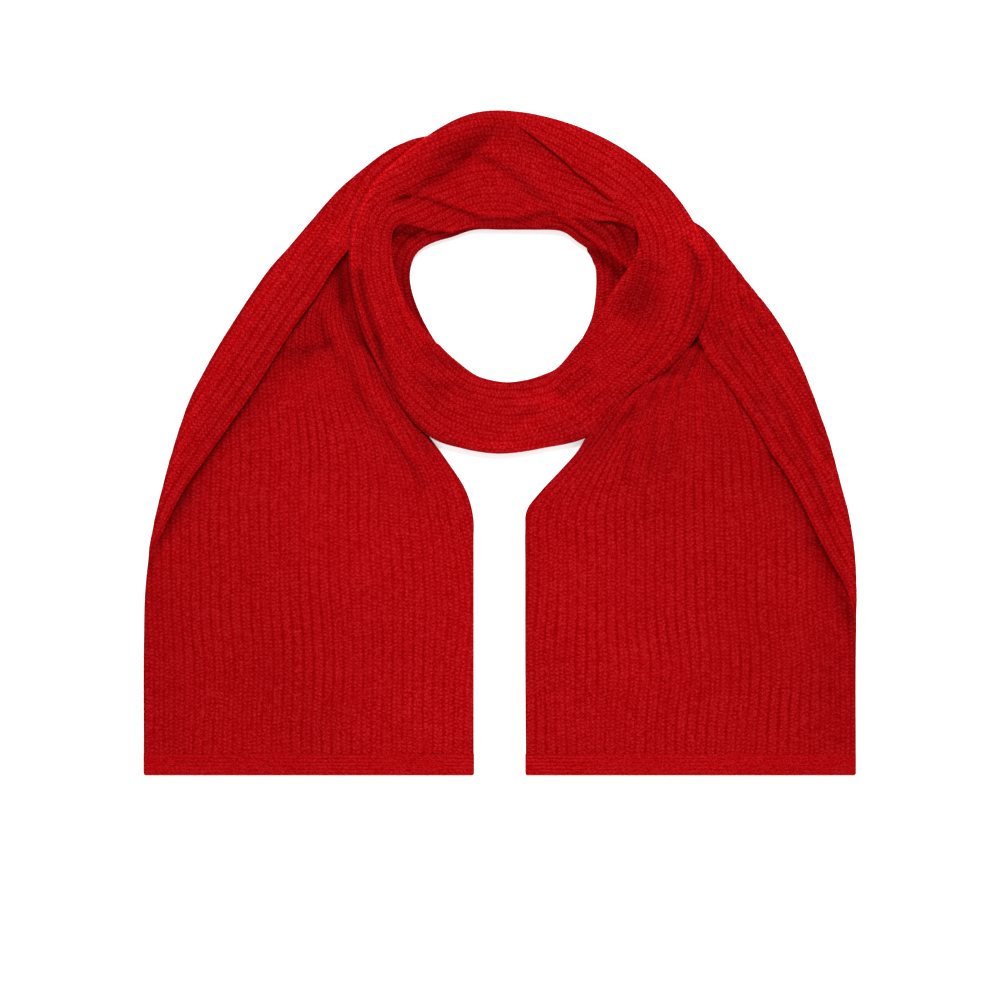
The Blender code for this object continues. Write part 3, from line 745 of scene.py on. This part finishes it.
# a folded edge: rows along the fold, each a C: under the fold, round it, over the top to the free selvedge
def makeFold(spec):
    path = np.array(spec["path"], float)
    run = np.concatenate([[0.0], np.cumsum(np.hypot(*np.diff(path[:, :2], axis=0).T))])
    place = np.linspace(0.0, run[-1], int(run[-1] / foldedEdges["rowStep"]))
    foldX, foldY, edgeX, edgeY, topZ = through(np.column_stack([run, path]), place).T[:, :, None]
    width = np.hypot(edgeX - foldX, edgeY - foldY)
    inX, inY = (edgeX - foldX) / width, (edgeY - foldY) / width
    # radius round which the cloth turns
    bend = 0.5 * np.minimum(topZ, foldedEdges["twoLayers"]) * ease(0.0, 5.0, width)
    lip = np.array([[0.9, 0.0]])
    angle = np.linspace(-0.5 * np.pi, 0.5 * np.pi, 11)[None, 1:-1]
    flat = spread(40.0, foldedEdges["pointStep"])[None, 6:]
    middle = topZ - bend
    d = np.concatenate([bend + lip, bend * (1.0 - np.cos(angle)), bend + (width - bend) * flat], axis=1)
    under = np.repeat(middle - bend, lip.size, axis=1)
    z = np.concatenate([under, middle + bend * np.sin(angle), np.repeat(topZ, flat.size, axis=1)], axis=1)
    overTop = np.concatenate([np.zeros(lip.size + angle.size), np.ones(flat.size)])[None, :]
    x, y = foldX + inX * d, foldY + inY * d
    seed = spec["seed"]
    sheet = np.stack([x, y, z], -1)
    along = np.broadcast_to(place[:, None], x.shape)
    toEdge = width - d  # the ribs follow the free selvedge
    u = toEdge + 0.4 * drift(x, y, 30.0, seed) + 0.25 * drift(x, y, 9.0, seed + 1)
    v = along + 0.8 * drift(x, y, 24.0, seed + 2)
    tuckFrom, tuckTo, tuckShare = spec["tuck"]
    flatter = 1.0 - tuckShare * ease(tuckFrom, tuckTo, along)
    uneven = 1.0 + 0.25 * drift(along, np.zeros(along.shape), 50.0, seed + 3)
    rolled = spec["edgeLift"] * uneven * ease(6.0, 22.0, width) * flatter
    lift = rolled * ease(15.0, 1.5, toEdge) * overTop
    lift = lift + 0.3 * drift(x, y, 25.0, seed + 4) + folds(x, y, spec["folds"]) * overTop
    pairs = 0.7 + 0.5 * streaks(u, along, 12.0, 80.0, seed + 6)
    relief = knitRelief(u, v, 0.7 + 0.25 * drift(x, y, 40.0, seed + 5), pairs) * ease(0.3, 3.0, toEdge)
    n = normalsOf(sheet)
    sheet[..., 2] += lift - edgeSink(toEdge, foldedEdges["edgeRound"]) * overTop
    sheet += n * (relief * ease(-0.3, 0.5, n[..., 2]))[..., None]
    sheet[..., 2] = np.maximum(sheet[..., 2], 0.05)
    under = np.linspace(0.0, 1.0, foldedEdges["backPoints"])[None, :]
    backD = (width - 0.7) * (1.0 - under) + under * np.minimum(2.6, width * 0.8)
    backZ = np.maximum(topZ - foldedEdges["thick"], 0.6)
    backZ = backZ + 0.9 * rolled[:, -1:] * ease(15.0, 1.5, width - backD)
    back = np.stack([foldX + inX * backD, foldY + inY * backD, backZ], -1)
    # painted shade in the pleats and along the fold line, with painted highlights on ridges and rims
    paintedShading = paintedShadingLines(x, y, spec["paintedShadingLines"]) * overTop + 0.12 * ease(4.0, 0.0, d)
    return closedStrip(spec, sheet, back, knitPlace(u, v), paintedShading)


leftFoldPiece = makeFold(leftFold)
rightFoldPiece = makeFold(rightFold)


# the loop round the neck
# one row for each of 27 places clockwise from the middle of the front: outer edge x y, inner edge x y,
# height of the layers underneath, and height of the outer edge over the ends that pass below it
loop = [
    (0, -10, 4, 53, 8, 0), (-34, -5, -18, 58, 8.5, 0), (-59, 5, -35, 69, 9, 3.6),
    (-80, 26, -50, 83, 9, 3.6), (-97, 53, -60, 98, 9.5, 3.6), (-114, 87, -69, 117, 10, 3.6),
    (-123, 117, -73.5, 132, 10, 4.5), (-128, 151, -74.5, 144, 10.5, 7),
        (-125, 182, -71.5, 156, 12, 8.5),
    (-113, 213, -65, 163.5, 13, 10), (-88, 240, -54, 169, 13, 10), (-57, 264.5, -40, 173, 13, 9),
    (-28, 279.5, -21, 179, 13.5, 3), (0, 283.5, 3, 179, 14, 0), (35, 279, 27, 179, 14, 0),
    (75.5, 266, 51, 178, 14, 0), (112, 246, 65, 169, 14, 0), (142, 220, 75, 161, 13, 3),
    (165, 189, 79.5, 148, 12, 7), (178.5, 156, 80, 135, 11, 7), (179, 128, 79, 121, 10.5, 7),
    (169, 94, 76, 106, 10, 7), (145, 64, 69, 91, 9.5, 4.5), (118, 47, 58, 75, 9, 3.6),
    (95, 28, 48, 64, 9, 3.6), (74, 5, 38, 59, 8.5, 3.6), (38, -5, 23, 55, 8, 0),
]
loopRows = len(loop)


# a section across the loop: flat-topped and rounded down at both sides, as a superellipse
def loopSection(row, angle, rise, narrow=0.0):
    places = np.arange(-3, 3 * loopRows)
    ring = np.array(loop)[places % loopRows]
    ring = through(np.column_stack([places, ring]), row)
    outerX, outerY, innerX, innerY, height, rim = ring.T[:, :, None]
    width = np.hypot(innerX - outerX, innerY - outerY)
    side = -np.sign(np.cos(angle)) * np.abs(np.cos(angle)) ** 0.75
    reach = side * (0.5 * width - narrow)
    foot = np.where(side < 0.0, np.maximum(rim, 0.0), 0.0)
    z = foot + (height + rise - foot) * np.clip(np.sin(angle), 0.0, 1.0) ** 0.6
    x = 0.5 * (outerX + innerX) + (innerX - outerX) / width * reach
    y = 0.5 * (outerY + innerY) + (innerY - outerY) / width * reach
    return np.stack([x, y, z], -1)


# the angle in the section of a place that lies a share of the way across the loop
def angleAt(across):
    side = 2.0 * across - 1.0
    return np.arccos(np.clip(-np.sign(side) * np.abs(side) ** (1.0 / 0.75), -1.0, 1.0))


# section angles from one to another in equal steps of cloth, by measuring a fine section first
def evenAngles(row, start, stop, rise, narrow, share):
    fine = start + (stop - start) * np.linspace(0.0, 1.0, 240)[None, :]
    run = runAcross(loopSection(row, fine, rise, narrow))
    return np.stack([np.interp(share * total[-1], total, angles) for total, angles in zip(run, fine)])


wrap = {
    "name": "neckWrap",
    "nodes": ["neck_front", "neck_left", "neck_back", "neck_crossover", "neck_right"],
    "first": 12.45,
    "last": 45.7,
    "rowCount": 660,
    "across": 110.0,  # usual width, to set how many points go across
    "backPoints": 20,
    "thick": 2.8,
    "rise": 6.9,
    "gather": 1.18,  # ribs drawn closer together than they lie in the flat ends
    "stepSink": 0.6,  # share of a raised layer's height by which all of its stretch goes down
    # row, how high up the side of the loop its folds end, as an angle in the section
    "wall": [
        (12.4, 0.3), (18, 0.3), (19.5, 0.08), (25, 0.08), (26, 0.24),
        (28, 0.24), (29, 0.08), (34, 0.08), (36, 0.3), (46.3, 0.3),
    ],
    # row, how far across its outer edge lies
    "outer": [(12.4, 0), (40.2, 0), (41, 0.10), (42, 0.30), (43, 0.33), (45, 0.33), (46.3, 0.42)],
    # row, how far across its inner edge lies
    "inner": [
        (12.4, 0.03), (13, 0.09), (13.5, 0.155), (14, 0.245), (15, 0.445), (16, 0.5), (16.4, 0.5),
            (17, 0.485), (18, 0.55), (19, 0.75),
        (20, 0.875), (21, 0.935), (21.5, 0.965), (22, 0.985), (22.6, 1), (30, 1), (30.5, 0.97),
            (31, 0.94), (32, 0.86),
        (33, 0.8), (34, 0.745), (35, 0.63), (35.5, 0.575), (35.8, 0.565), (36.1, 0.6), (36.5, 0.735),
            (37, 0.865), (38, 0.95), (39, 0.97), (41.2, 0.97),
        (42, 0.905), (42.5, 0.84), (43, 0.78), (43.5, 0.69), (44, 0.595), (44.5, 0.53), (45, 0.49),
            (45.7, 0.46),
    ],
    # rows it holds for, height, half width, line
    "folds": [
        (30, 38, -5.5, 3.4, [(-120, 156), (-120, 150), (-119, 138), (-115, 119), (-109.5, 102),
            (-103.5, 86), (-99, 70), (-93, 53), (-86, 35)]),
        (30, 38, 1.2, 3.5, [(-124, 160), (-122, 138), (-117, 118), (-110, 99), (-104, 80)]),
        (30, 38, -0.8, 3.6, [(-96, 140), (-91, 121), (-84, 102), (-72, 87), (-55, 74), (-37, 64)]),
        (30, 38, 2, 4, [(-84, 121), (-76, 100), (-62, 88), (-50, 83)]),
        (30, 38, -1.4, 4, [(-104, 132), (-101, 121), (-93, 96), (-80, 77), (-63, 62)]),
        (27, 33, -5, 8, [(-76, 52), (-62, 47), (-48, 44), (-34, 42), (-22, 42)]),
        (22, 29, 2.6, 6, [(4, 18), (13, 26), (26, 37), (38, 42), (53, 32), (76, 41), (106, 52)]),
        (22, 29, 1.5, 5, [(0, 15), (17, 26), (30, 37)]),
        (22, 29, -2.6, 6, [(46, 36), (51, 41), (59, 48), (68, 58), (74, 66)]),
        (22, 29, -1.4, 7, [(-16, 38), (0, 32), (13, 24), (34, 21), (64, 26), (93, 38)]),
        (35, 46, -2.4, 6, [(0, 272), (16, 264), (38, 248), (66, 223), (94, 201), (104, 194)]),
        (35, 44, -3.6, 5, [(-34, 243), (-25, 241), (-14, 237), (0, 230), (13, 221), (24, 211),
            (34, 204), (43, 198)]),
        (35, 46, -2, 3.2, [(38, 192), (55, 183), (76, 171), (95, 158), (107, 148)]),
        (35, 46, 3.2, 10, [(92, 206), (102, 199), (112, 192), (122, 186), (136, 178)]),
        (18, 23, -7, 14, [(132, 154), (125, 140), (117, 125), (108, 110), (98, 96)]),
        (17, 23, 2.2, 3.4, [(112, 188), (117, 178), (114, 162), (106, 148), (96, 132), (86, 114)]),
        (17, 23, -6.5, 3.2, [(147, 176), (154, 170), (161, 160), (165.5, 150), (167, 137), (166, 121),
            (160, 102), (152, 88)]),
        (17, 23, 2, 4, [(166, 172), (174, 156), (178, 138), (177, 117), (169, 97)]),
        (17, 23, 2.2, 8, [(104, 196), (128, 186), (146, 168), (154, 146), (152, 120), (140, 96)]),
        (19, 24, -3.4, 4, [(156, 96), (148, 84), (138, 72), (128, 60), (118, 52)]),
        (20, 24, -2.6, 4, [(146, 96), (134, 80), (120, 68), (104, 58)]),
    ],
    # rows it holds for, height, edge, reach, line with its raised or sunk side on the left
    "lifts": [
        (35, 46.5, 3.8, 1.2, 200, [(-112, 190), (-98, 200), (-88, 205), (-78, 208), (-62, 206),
            (-46, 201), (-34, 197), (-20, 192), (-7, 189), (9, 188), (22, 190), (34, 194), (43, 194),
            (53, 189), (68, 187), (86, 186), (102, 184), (113, 178), (124, 170)]),
        (36, 42.5, -5.5, 1.5, 24, [(-97, 198), (-90, 201), (-82, 204), (-66, 211), (-51, 219),
            (-37, 228), (-25, 238), (-16, 248), (-8, 256)]),
        (36, 42.5, -6, 1.9, 26, [(-74, 207), (-60, 214), (-49, 220), (-37, 228), (-25, 238),
            (-16, 248), (-4, 260)]),
        (39, 42.6, -5, 1.4, 15, [(128, 168), (113, 179), (102, 185), (86, 187), (68, 188),
            (54, 189), (44, 193)]),
    ],
    # rows it holds for, strength of the painted shade, less than nothing for a painted highlight, half
    # width, line
    "paintedShadingLines": [
        (36, 42.5, 0.15, 6, [(-80, 208), (-70, 211), (-56, 219), (-46, 225)]),
        (36, 42.5, 0.27, 8, [(-50, 243), (-38, 249), (-24, 257), (-8, 263)]),
        (36, 42.5, 0.16, 7, [(-34, 234), (-28, 240), (-24, 248)]),
        (36, 42.5, 0.1, 6, [(-39, 242), (-31, 245)]),
        (36, 42.5, 0.14, 5, [(-79, 210), (-70, 211)]),
        (36, 44, 0.19, 11, [(4, 266), (12, 262), (24, 256)]),
        (35, 44, 0.12, 5, [(-14, 237), (0, 230), (13, 221), (24, 211), (34, 204)]),
        (36, 46, 0.14, 6, [(32, 251), (64, 223), (92, 200)]),
        (36, 41, 0.2, 6, [(-54, 266), (-30, 277), (-6, 282)]),
        (12, 19, 0.14, 3, [(20, 281), (60, 271), (100, 251), (132, 229), (158, 199)]),
        (22, 31, 0.14, 3, [(-35, 62), (-18, 57), (4, 53), (25, 54), (40, 58), (58, 68), (70, 84)]),
        (35, 46, 0.12, 3.5, [(-88, 203), (-70, 204), (-50, 199), (-30, 193), (-10, 187), (20, 188),
            (40, 190)]),
        (41, 46.5, 0.12, 4, [(97, 194), (108, 190), (117, 184)]),
        (41, 46.5, -0.08, 2.6, [(62, 190), (85, 189), (101, 187.5), (111, 183), (117, 175)]),
        (35, 40, 0.12, 6, [(-96, 176), (-92, 184), (-84, 186)]),
        (35, 39, 0.06, 3.4, [(-82, 188), (-68, 186), (-50, 184)]),
        (35, 44, -0.3, 3.2, [(-48, 180), (-36, 181), (-10, 181), (20, 181), (40, 182)]),
        (35, 44, -0.2, 2, [(-40, 203), (-20, 196), (-3, 193), (13, 194.5), (26, 199)]),
        (18, 23, 0.34, 13, [(121, 132), (117, 124), (113, 117)]),
        (18, 23, 0.16, 11, [(130, 116), (127, 108)]),
        (18, 23, 0.08, 9, [(112, 190), (124, 180), (128, 164)]),
        (17, 23, 0.26, 2.8, [(162, 159), (166, 148), (166, 137)]),
        (17, 23, -0.1, 6, [(152, 173), (160, 167), (168, 161)]),
        (17, 23, 0.09, 3.5, [(168, 158), (170.5, 148), (170, 138)]),
        (17, 23, 0.13, 3, [(162, 134), (161, 122), (158, 108)]),
        (19, 25, 0.25, 5, [(172, 110), (164, 88), (150, 70), (136, 56)]),
        (27, 33, 0.19, 9, [(-58, 43), (-51, 37)]),
        (27, 33, 0.26, 6, [(-60, 76), (-46, 69), (-40, 66)]),
        (22, 33, -0.06, 9, [(-56, 16), (-36, 8), (-10, 4), (20, 3), (40, 6)]),
        (22, 29, 0.12, 6, [(10, 50), (22, 46), (24, 38)]),
        (23, 29, 0.08, 9, [(40, 14), (60, 14)]),
        (23, 29, -0.18, 5, [(40, 33), (50, 30), (58, 31)]),
        (22, 29, 0.14, 7, [(52, 42), (62, 48), (72, 56)]),
        (30, 38, -0.12, 4, [(-88, 150), (-87, 130), (-83, 114), (-76, 100), (-66, 88)]),
        (31, 39, 0.11, 5, [(-112, 176), (-112, 160)]),
        (31, 39, 0.4, 2.4, [(-118, 144), (-117.5, 136), (-114.5, 119), (-109, 102), (-103, 86),
            (-99.5, 74)]),
        (28, 34, 0.24, 3, [(-106, 90), (-100, 70), (-93, 51), (-85, 33), (-75, 17), (-66, 7)]),
        (31, 41, -0.4, 1.4, [(-124, 150), (-124, 165), (-121.5, 182), (-116, 197), (-109, 212),
            (-98, 227), (-86, 239), (-72, 251), (-57, 261)]),
        (31, 41, -0.1, 7, [(-121, 182), (-115, 197), (-108, 212), (-97, 227), (-85, 239), (-70, 250)]),
        (17, 20, -0.12, 8, [(160, 188), (164, 176), (166, 164)]),
        (17, 24, -0.4, 1.5, [(164, 184), (172, 171), (177, 156), (179, 136), (177, 114)]),
        (17, 24, -0.11, 15, [(124, 184), (138, 174), (146, 160), (148, 148)]),
        (18, 24, -0.22, 2.2, [(116, 178), (115, 162), (108, 144), (98, 130), (83, 108)]),
        (24, 32, -0.14, 3, [(12, -5), (26, -4), (40, -2)]),
        (24, 32, -0.3, 4, [(-30, -1), (-10, -4), (8, -5), (28, -4), (48, -1)]),
        (23, 30, -0.22, 7, [(20, 33), (30, 37), (42, 38)]),
        (23, 30, -0.12, 7, [(2, 2), (16, 10), (33, 21), (68, 32)]),
    ],
}


# folds, lifts or painted shade whose lines each hold for some rows only, easing in and out over about a row
def heldFor(shaper, table, row, x, y):
    total = np.zeros(x.shape)
    rows = np.broadcast_to(row[:, None], x.shape)
    for first, last, *line in table:
        near = (row > first - 0.8) & (row < last + 0.8)
        held = ease(first - 0.8, first + 0.2, rows) * (1.0 - ease(last - 0.2, last + 0.8, rows))
        total[near] += held[near] * shaper(x[near], y[near], [line])
    return total


# the visible wrap: one strip from where it comes over the back, down the right, across the front,
# up the left and over the back again, where it goes under its own start
def makeWrap(spec):
    row = np.linspace(spec["first"], spec["last"], spec["rowCount"])
    wall = fromTable(spec["wall"], row)
    start = np.maximum(angleAt(fromTable(spec["outer"], row)), wall)[:, None]
    stop = np.minimum(angleAt(fromTable(spec["inner"], row)), np.pi - wall)[:, None]
    # higher while it lies over its other end, which starts and ends lower, tucked under
    over = -4.0 + 5.8 * ease(12.3, 14.2, row) - 1.8 * ease(17.0, 20.5, row) - 10.0 * ease(43.8, 45.6, row)
    rise = spec["rise"] + over[:, None]
    share = spread(spec["across"], 1.0)
    angle = evenAngles(row, start, stop, rise, 0.0, share)
    sheet = loopSection(row, angle, rise)
    x, y = sheet[..., 0].copy(), sheet[..., 1].copy()
    n = normalsOf(sheet)
    run = runAcross(sheet)
    half = 0.5 * run[:, -1:]
    along = np.broadcast_to(runAlong(sheet), run.shape)
    u = spec["gather"] * (run - half) + 2.0 * drift(along, run, 44.0, 79)
    u = u + 0.9 * drift(along, run, 20.0, 71)
    u = u + 0.35 * drift(along, run, 8.0, 72)
    v = along + 2.2 * drift(x, y, 26.0, 73)

    # a raised layer, with its whole stretch sunk by a share of its height
    def steps(x, y, table):
        return lifts(x, y, table) - spec["stepSink"] * max(table[0][0], 0.0)

    shape = heldFor(folds, spec["folds"], row, x, y) + heldFor(steps, spec["lifts"], row, x, y)
    shape += 0.8 * drift(along, run, 55.0, 74) + 0.5 * drift(along, run, 18.0, 75)
    shape += 0.55 * streaks(run, along, 8.0, 55.0, 78)
    # painted shade in the troughs and pockets and painted highlights on rims, each held for its rows
    paintedShading = heldFor(paintedShadingLines, spec["paintedShadingLines"], row, x, y)
    sheet[..., 2] += shape * ease(0.15, 0.8, n[..., 2])
    n = normalsOf(sheet)
    edge = np.minimum(run, run[:, -1:] - run)
    strength = np.maximum(0.36 + 0.36 * drift(x, y, 32.0, 76), 0.05)
    pairs = 0.16 + 0.26 * streaks(run, v, 14.0, 80.0, 77)
    relief = knitRelief(u, v, strength, pairs) * ease(0.3, 3.0, edge)
    sheet += n * relief[..., None]
    back = underside(sheet, n, spec["backPoints"], spec["thick"])
    sheet -= n * edgeSink(edge, knit["edgeRound"])[..., None]
    return closedStrip(spec, sheet, back, knitPlace(u, v), paintedShading)


wrapPiece = makeWrap(wrap)

lining = {
    "name": "innerLayer",
    "nodes": ["neck_inner_layer"],
    "first": 3.0,
    "last": 22.8,
    "rowCount": 300,
    "rise": 3.3,
    "across": 45.0,
    "narrow": 1.0,
    "edgeRound": 1.2,
    "backPoints": 12,
    "thick": 2.4,
    "least": 3.0,  # height that no crease goes below
    # row, how far across its outer edge lies
    "outer": [
        (3, 0.42), (8.5, 0.42), (9, 0.46), (9.5, 0.58), (10, 0.7), (14.5, 0.76),
        (16, 0.6), (17, 0.45), (18, 0.36), (21.4, 0.36), (22, 0.75), (22.8, 0.85),
    ],
    "folds": [
        (-7, 8, [(-110, 190), (-98, 182), (-88, 176), (-76, 174), (-64, 173)]),
        (-4, 9, [(-94, 176), (-72, 176), (-55, 175), (-27, 179), (-10, 179)]),
        (-2, 9, [(56, 190), (70, 187), (86, 185), (98, 183)]),
        (-3, 10, [(92, 182), (102, 179), (112, 172), (124, 162)]),
        (-11, 18, [(150, 178), (138, 160), (129, 146), (120, 130), (110, 112), (98, 94)]),
        (-10, 14, [(-100, 200), (-83, 210), (-69, 218), (-55, 225), (-41, 233), (-27, 241)]),
        (-8, 6.5, [(70, 170), (80, 160), (90, 150), (97, 141), (102, 130), (106, 116)]),
        (-2, 4, [(-86, 150), (-82, 130), (-74, 112), (-62, 98)]),
        (-2, 4, [(88, 130), (86, 112), (80, 100)]),
    ],
    "lifts": [
        (4.8, 0.8, 26, [(38, 198), (50, 190.5), (60, 185), (77, 171), (94, 158.5), (105, 149),
            (120, 136)]),
    ],
    "paintedShadingLines": [
        (0.14, 200, [(-20, 120), (20, 120)]),
        (0.42, 6.5, [(-95, 176), (-88, 172), (-82, 170)]),
        (0.12, 4, [(-92, 172), (-90, 160), (-88, 148)]),
        (0.1, 5, [(-66, 174), (-56, 173), (-48, 174)]),
        (-0.16, 4, [(44, 192), (56, 184), (70, 174), (80, 168)]),
        (0.12, 5, [(104, 178), (112, 174)]),
        (0.3, 2.5, [(-77, 150), (-77, 138), (-73, 122), (-66, 106), (-58, 92)]),
        (-0.4, 1.7, [(42, 197), (52, 191), (62, 185.5), (78, 172.5), (95, 160), (104, 152)]),
        (0.06, 8, [(66, 185), (85, 182), (104, 176), (114, 168)]),
        (0.22, 9, [(72, 182), (88, 177), (100, 170), (108, 162)]),
        (0.18, 6, [(103, 178), (109, 174), (112, 169)]),
        (0.24, 6, [(86, 158), (91, 150), (96, 140)]),
        (-0.16, 5, [(84, 128), (82, 116), (80, 108)]),
        (0.2, 6, [(-84, 160), (-84, 140), (-76, 118), (-66, 100)]),
    ],
}


# the layer inside the wrap, which shows along the opening
def makeLining(spec):
    row = np.linspace(spec["first"], spec["last"], spec["rowCount"])
    start = angleAt(fromTable(spec["outer"], row))[:, None]
    stop = np.full((len(row), 1), np.pi - 0.12)
    share = spread(spec["across"], 1.0)
    angle = evenAngles(row, start, stop, spec["rise"], spec["narrow"], share)
    sheet = loopSection(row, angle, spec["rise"], spec["narrow"])
    x, y = sheet[..., 0].copy(), sheet[..., 1].copy()
    n = normalsOf(sheet)
    run = runAcross(sheet)
    along = np.broadcast_to(runAlong(sheet), run.shape)
    u = run[:, -1:] - run + 0.4 * drift(along, run, 25.0, 81)
    v = along + 0.8 * drift(x, y, 20.0, 82)
    shape = folds(x, y, spec["folds"]) + lifts(x, y, spec["lifts"]) + 0.6 * drift(along, run, 30.0, 83)
    sheet[..., 2] = np.maximum(sheet[..., 2] + shape * ease(0.15, 0.8, n[..., 2]), spec["least"])
    n = normalsOf(sheet)
    edge = np.minimum(run, run[:, -1:] - run)
    sheet += n * ((knitRelief(u, v, 1.0, 0.6) * ease(0.3, 3.0, edge))[..., None])
    back = underside(sheet, n, spec["backPoints"], spec["thick"])
    sheet -= n * edgeSink(edge, spec["edgeRound"])[..., None]
    # painted shade all over and deeper in the pockets, with painted highlights on some rims
    paintedShading = paintedShadingLines(x, y, spec["paintedShadingLines"])
    return closedStrip(spec, sheet, back, knitPlace(u, v), paintedShading)


liningPiece = makeLining(lining)

layers = {
    "name": "gatheredLayers",
    "nodes": ["neck_layers"],
    "rowCount": 324,
    "rise": -4.0,
    "foldHeight": 4.3,  # height of one stacked fold at the loop's sides
    "narrow": 3.4,  # how much narrower it is than the wrap at each side
    "backPoints": 14,
    "shade": 0.4,  # painted shade all over, deep inside the loop
    # pressed in under the deepest creases of the wrap
    "folds": [
        (-10, 12, [(-104, 179), (-90, 177), (-72, 176), (-55, 175), (-27, 180), (0, 181)]),
        (-10, 13, [(60, 189), (85, 186), (100, 181), (112, 175), (130, 166)]),
        (-10, 12, [(68, 176), (81, 158), (91, 146), (97, 135), (106, 118)]),
        (-11, 18, [(-108, 196), (-90, 208), (-72, 220), (-45, 236), (-22, 250), (0, 262), (20, 262)]),
        (-12, 22, [(150, 178), (138, 160), (129, 146), (118, 127), (104, 106), (92, 92)]),
    ],
}


# the gathered layers under the wrap: a closed ring whose sides bulge once for every stacked fold
def makeLayers(spec):
    row = np.linspace(0.0, loopRows, spec["rowCount"], endpoint=False)
    start, stop = np.full((len(row), 1), 0.02), np.full((len(row), 1), np.pi - 0.02)
    angle = evenAngles(row, start, stop, spec["rise"], spec["narrow"], spread(110.0, 1.6))
    sheet = loopSection(row, angle, spec["rise"], spec["narrow"])
    n = normalsOf(sheet)
    x, y, z = sheet[..., 0], sheet[..., 1], sheet[..., 2]
    stack = np.abs(np.sin(np.pi * z / spec["foldHeight"] + 0.6 * drift(x, y, 60.0, 91))) ** 0.6
    sheet += n * ((1.6 * (stack - 0.6) * (1.0 - ease(0.3, 0.8, n[..., 2])))[..., None])
    sheet[..., 2] += folds(x, y, spec["folds"]) * ease(0.3, 0.9, n[..., 2])
    sheet[..., 2] = np.maximum(sheet[..., 2], 0.6)
    run = runAcross(sheet)
    uv = np.stack([run / knit["rib"], np.broadcast_to(row[:, None], run.shape) * 10.0], -1)
    back = underside(sheet, n, spec["backPoints"], 0.0)
    centre = back.mean(axis=1, keepdims=True)
    back = centre + (back - centre) * 0.98
    back[..., 2] = 0.0
    # painted shade, even all over
    paintedShading = np.full(x.shape, spec["shade"])
    return closedStrip(spec, sheet, back, uv, paintedShading, loop=True)


layersPiece = makeLayers(layers)
# floor, light and camera
studio = {
    "floor": (0.92, 0.92, 0.92),
    "sky": 0.28,
    "glow": 0.46,  # the paper is lit from below as well, which takes out most of the cast shadow
    "lens": 150.0,
    "sensor": 36.0,
    "view": 844.65,  # width of the ground in the picture
    "centre": (0.2, -47.9),
    "viewPlane": 9.0,  # the height at which that width is measured
}


# a round soft lamp that faces the middle of the ground
def areaLight(name, place, size, power):
    data = bpy.data.lights.new(name, "AREA")
    data.shape = "DISK"
    data.size = size
    data.energy = power
    lamp = bpy.data.objects.new(name, data)
    bpy.context.scene.collection.objects.link(lamp)
    lamp.location = place
    lamp.rotation_euler = lamp.location.to_track_quat("Z", "Y").to_euler()


# pale paper lit from below as well, three lamps, an even sky, and a camera straight above:
# its distance is the width of ground in view times the lens over the sensor
def makeStudio(spec):
    scene = bpy.context.scene
    mesh = bpy.data.meshes.new("floor")
    wide = 6.0
    corners = [(-wide, -wide, 0), (wide, -wide, 0), (wide, wide, 0), (-wide, wide, 0)]
    mesh.from_pydata(corners, [], [(0, 1, 2, 3)])
    floor = bpy.data.objects.new("floor", mesh)
    scene.collection.objects.link(floor)
    floor.location.z = -0.0005
    paper = bpy.data.materials.new("paper")
    paper.use_nodes = True
    surface = paper.node_tree.nodes["Principled BSDF"].inputs
    surface["Base Color"].default_value = (*spec["floor"], 1.0)
    surface["Roughness"].default_value = 0.9
    surface["Emission Color"].default_value = (1.0, 1.0, 1.0, 1.0)
    surface["Emission Strength"].default_value = spec["glow"]
    mesh.materials.append(paper)
    world = bpy.data.worlds.new("softbox")
    world.use_nodes = True
    sky = world.node_tree.nodes["Background"].inputs
    sky["Color"].default_value = (1.0, 1.0, 1.0, 1.0)
    sky["Strength"].default_value = spec["sky"]
    scene.world = world
    areaLight("key", (0.3, 2.6, 3.2), 1.9, 245.0)
    areaLight("fill", (-0.2, -1.3, 1.8), 1.5, 7.0)
    areaLight("low", (0.0, -2.6, 0.9), 1.0, 40.0)
    scene.view_settings.view_transform = "Standard"
    data = bpy.data.cameras.new("camera")
    data.lens = spec["lens"]
    data.sensor_width = spec["sensor"]
    camera = bpy.data.objects.new("camera", data)
    scene.collection.objects.link(camera)
    distance = spec["view"] * spec["lens"] / spec["sensor"]
    camera.location = (spec["centre"][0] * mm, spec["centre"][1] * mm, (distance + spec["viewPlane"]) * mm)
    data.clip_end = 20.0
    scene.camera = camera


makeStudio(studio)
print("floor, light and camera ready")
bpy.context.view_layer.update()
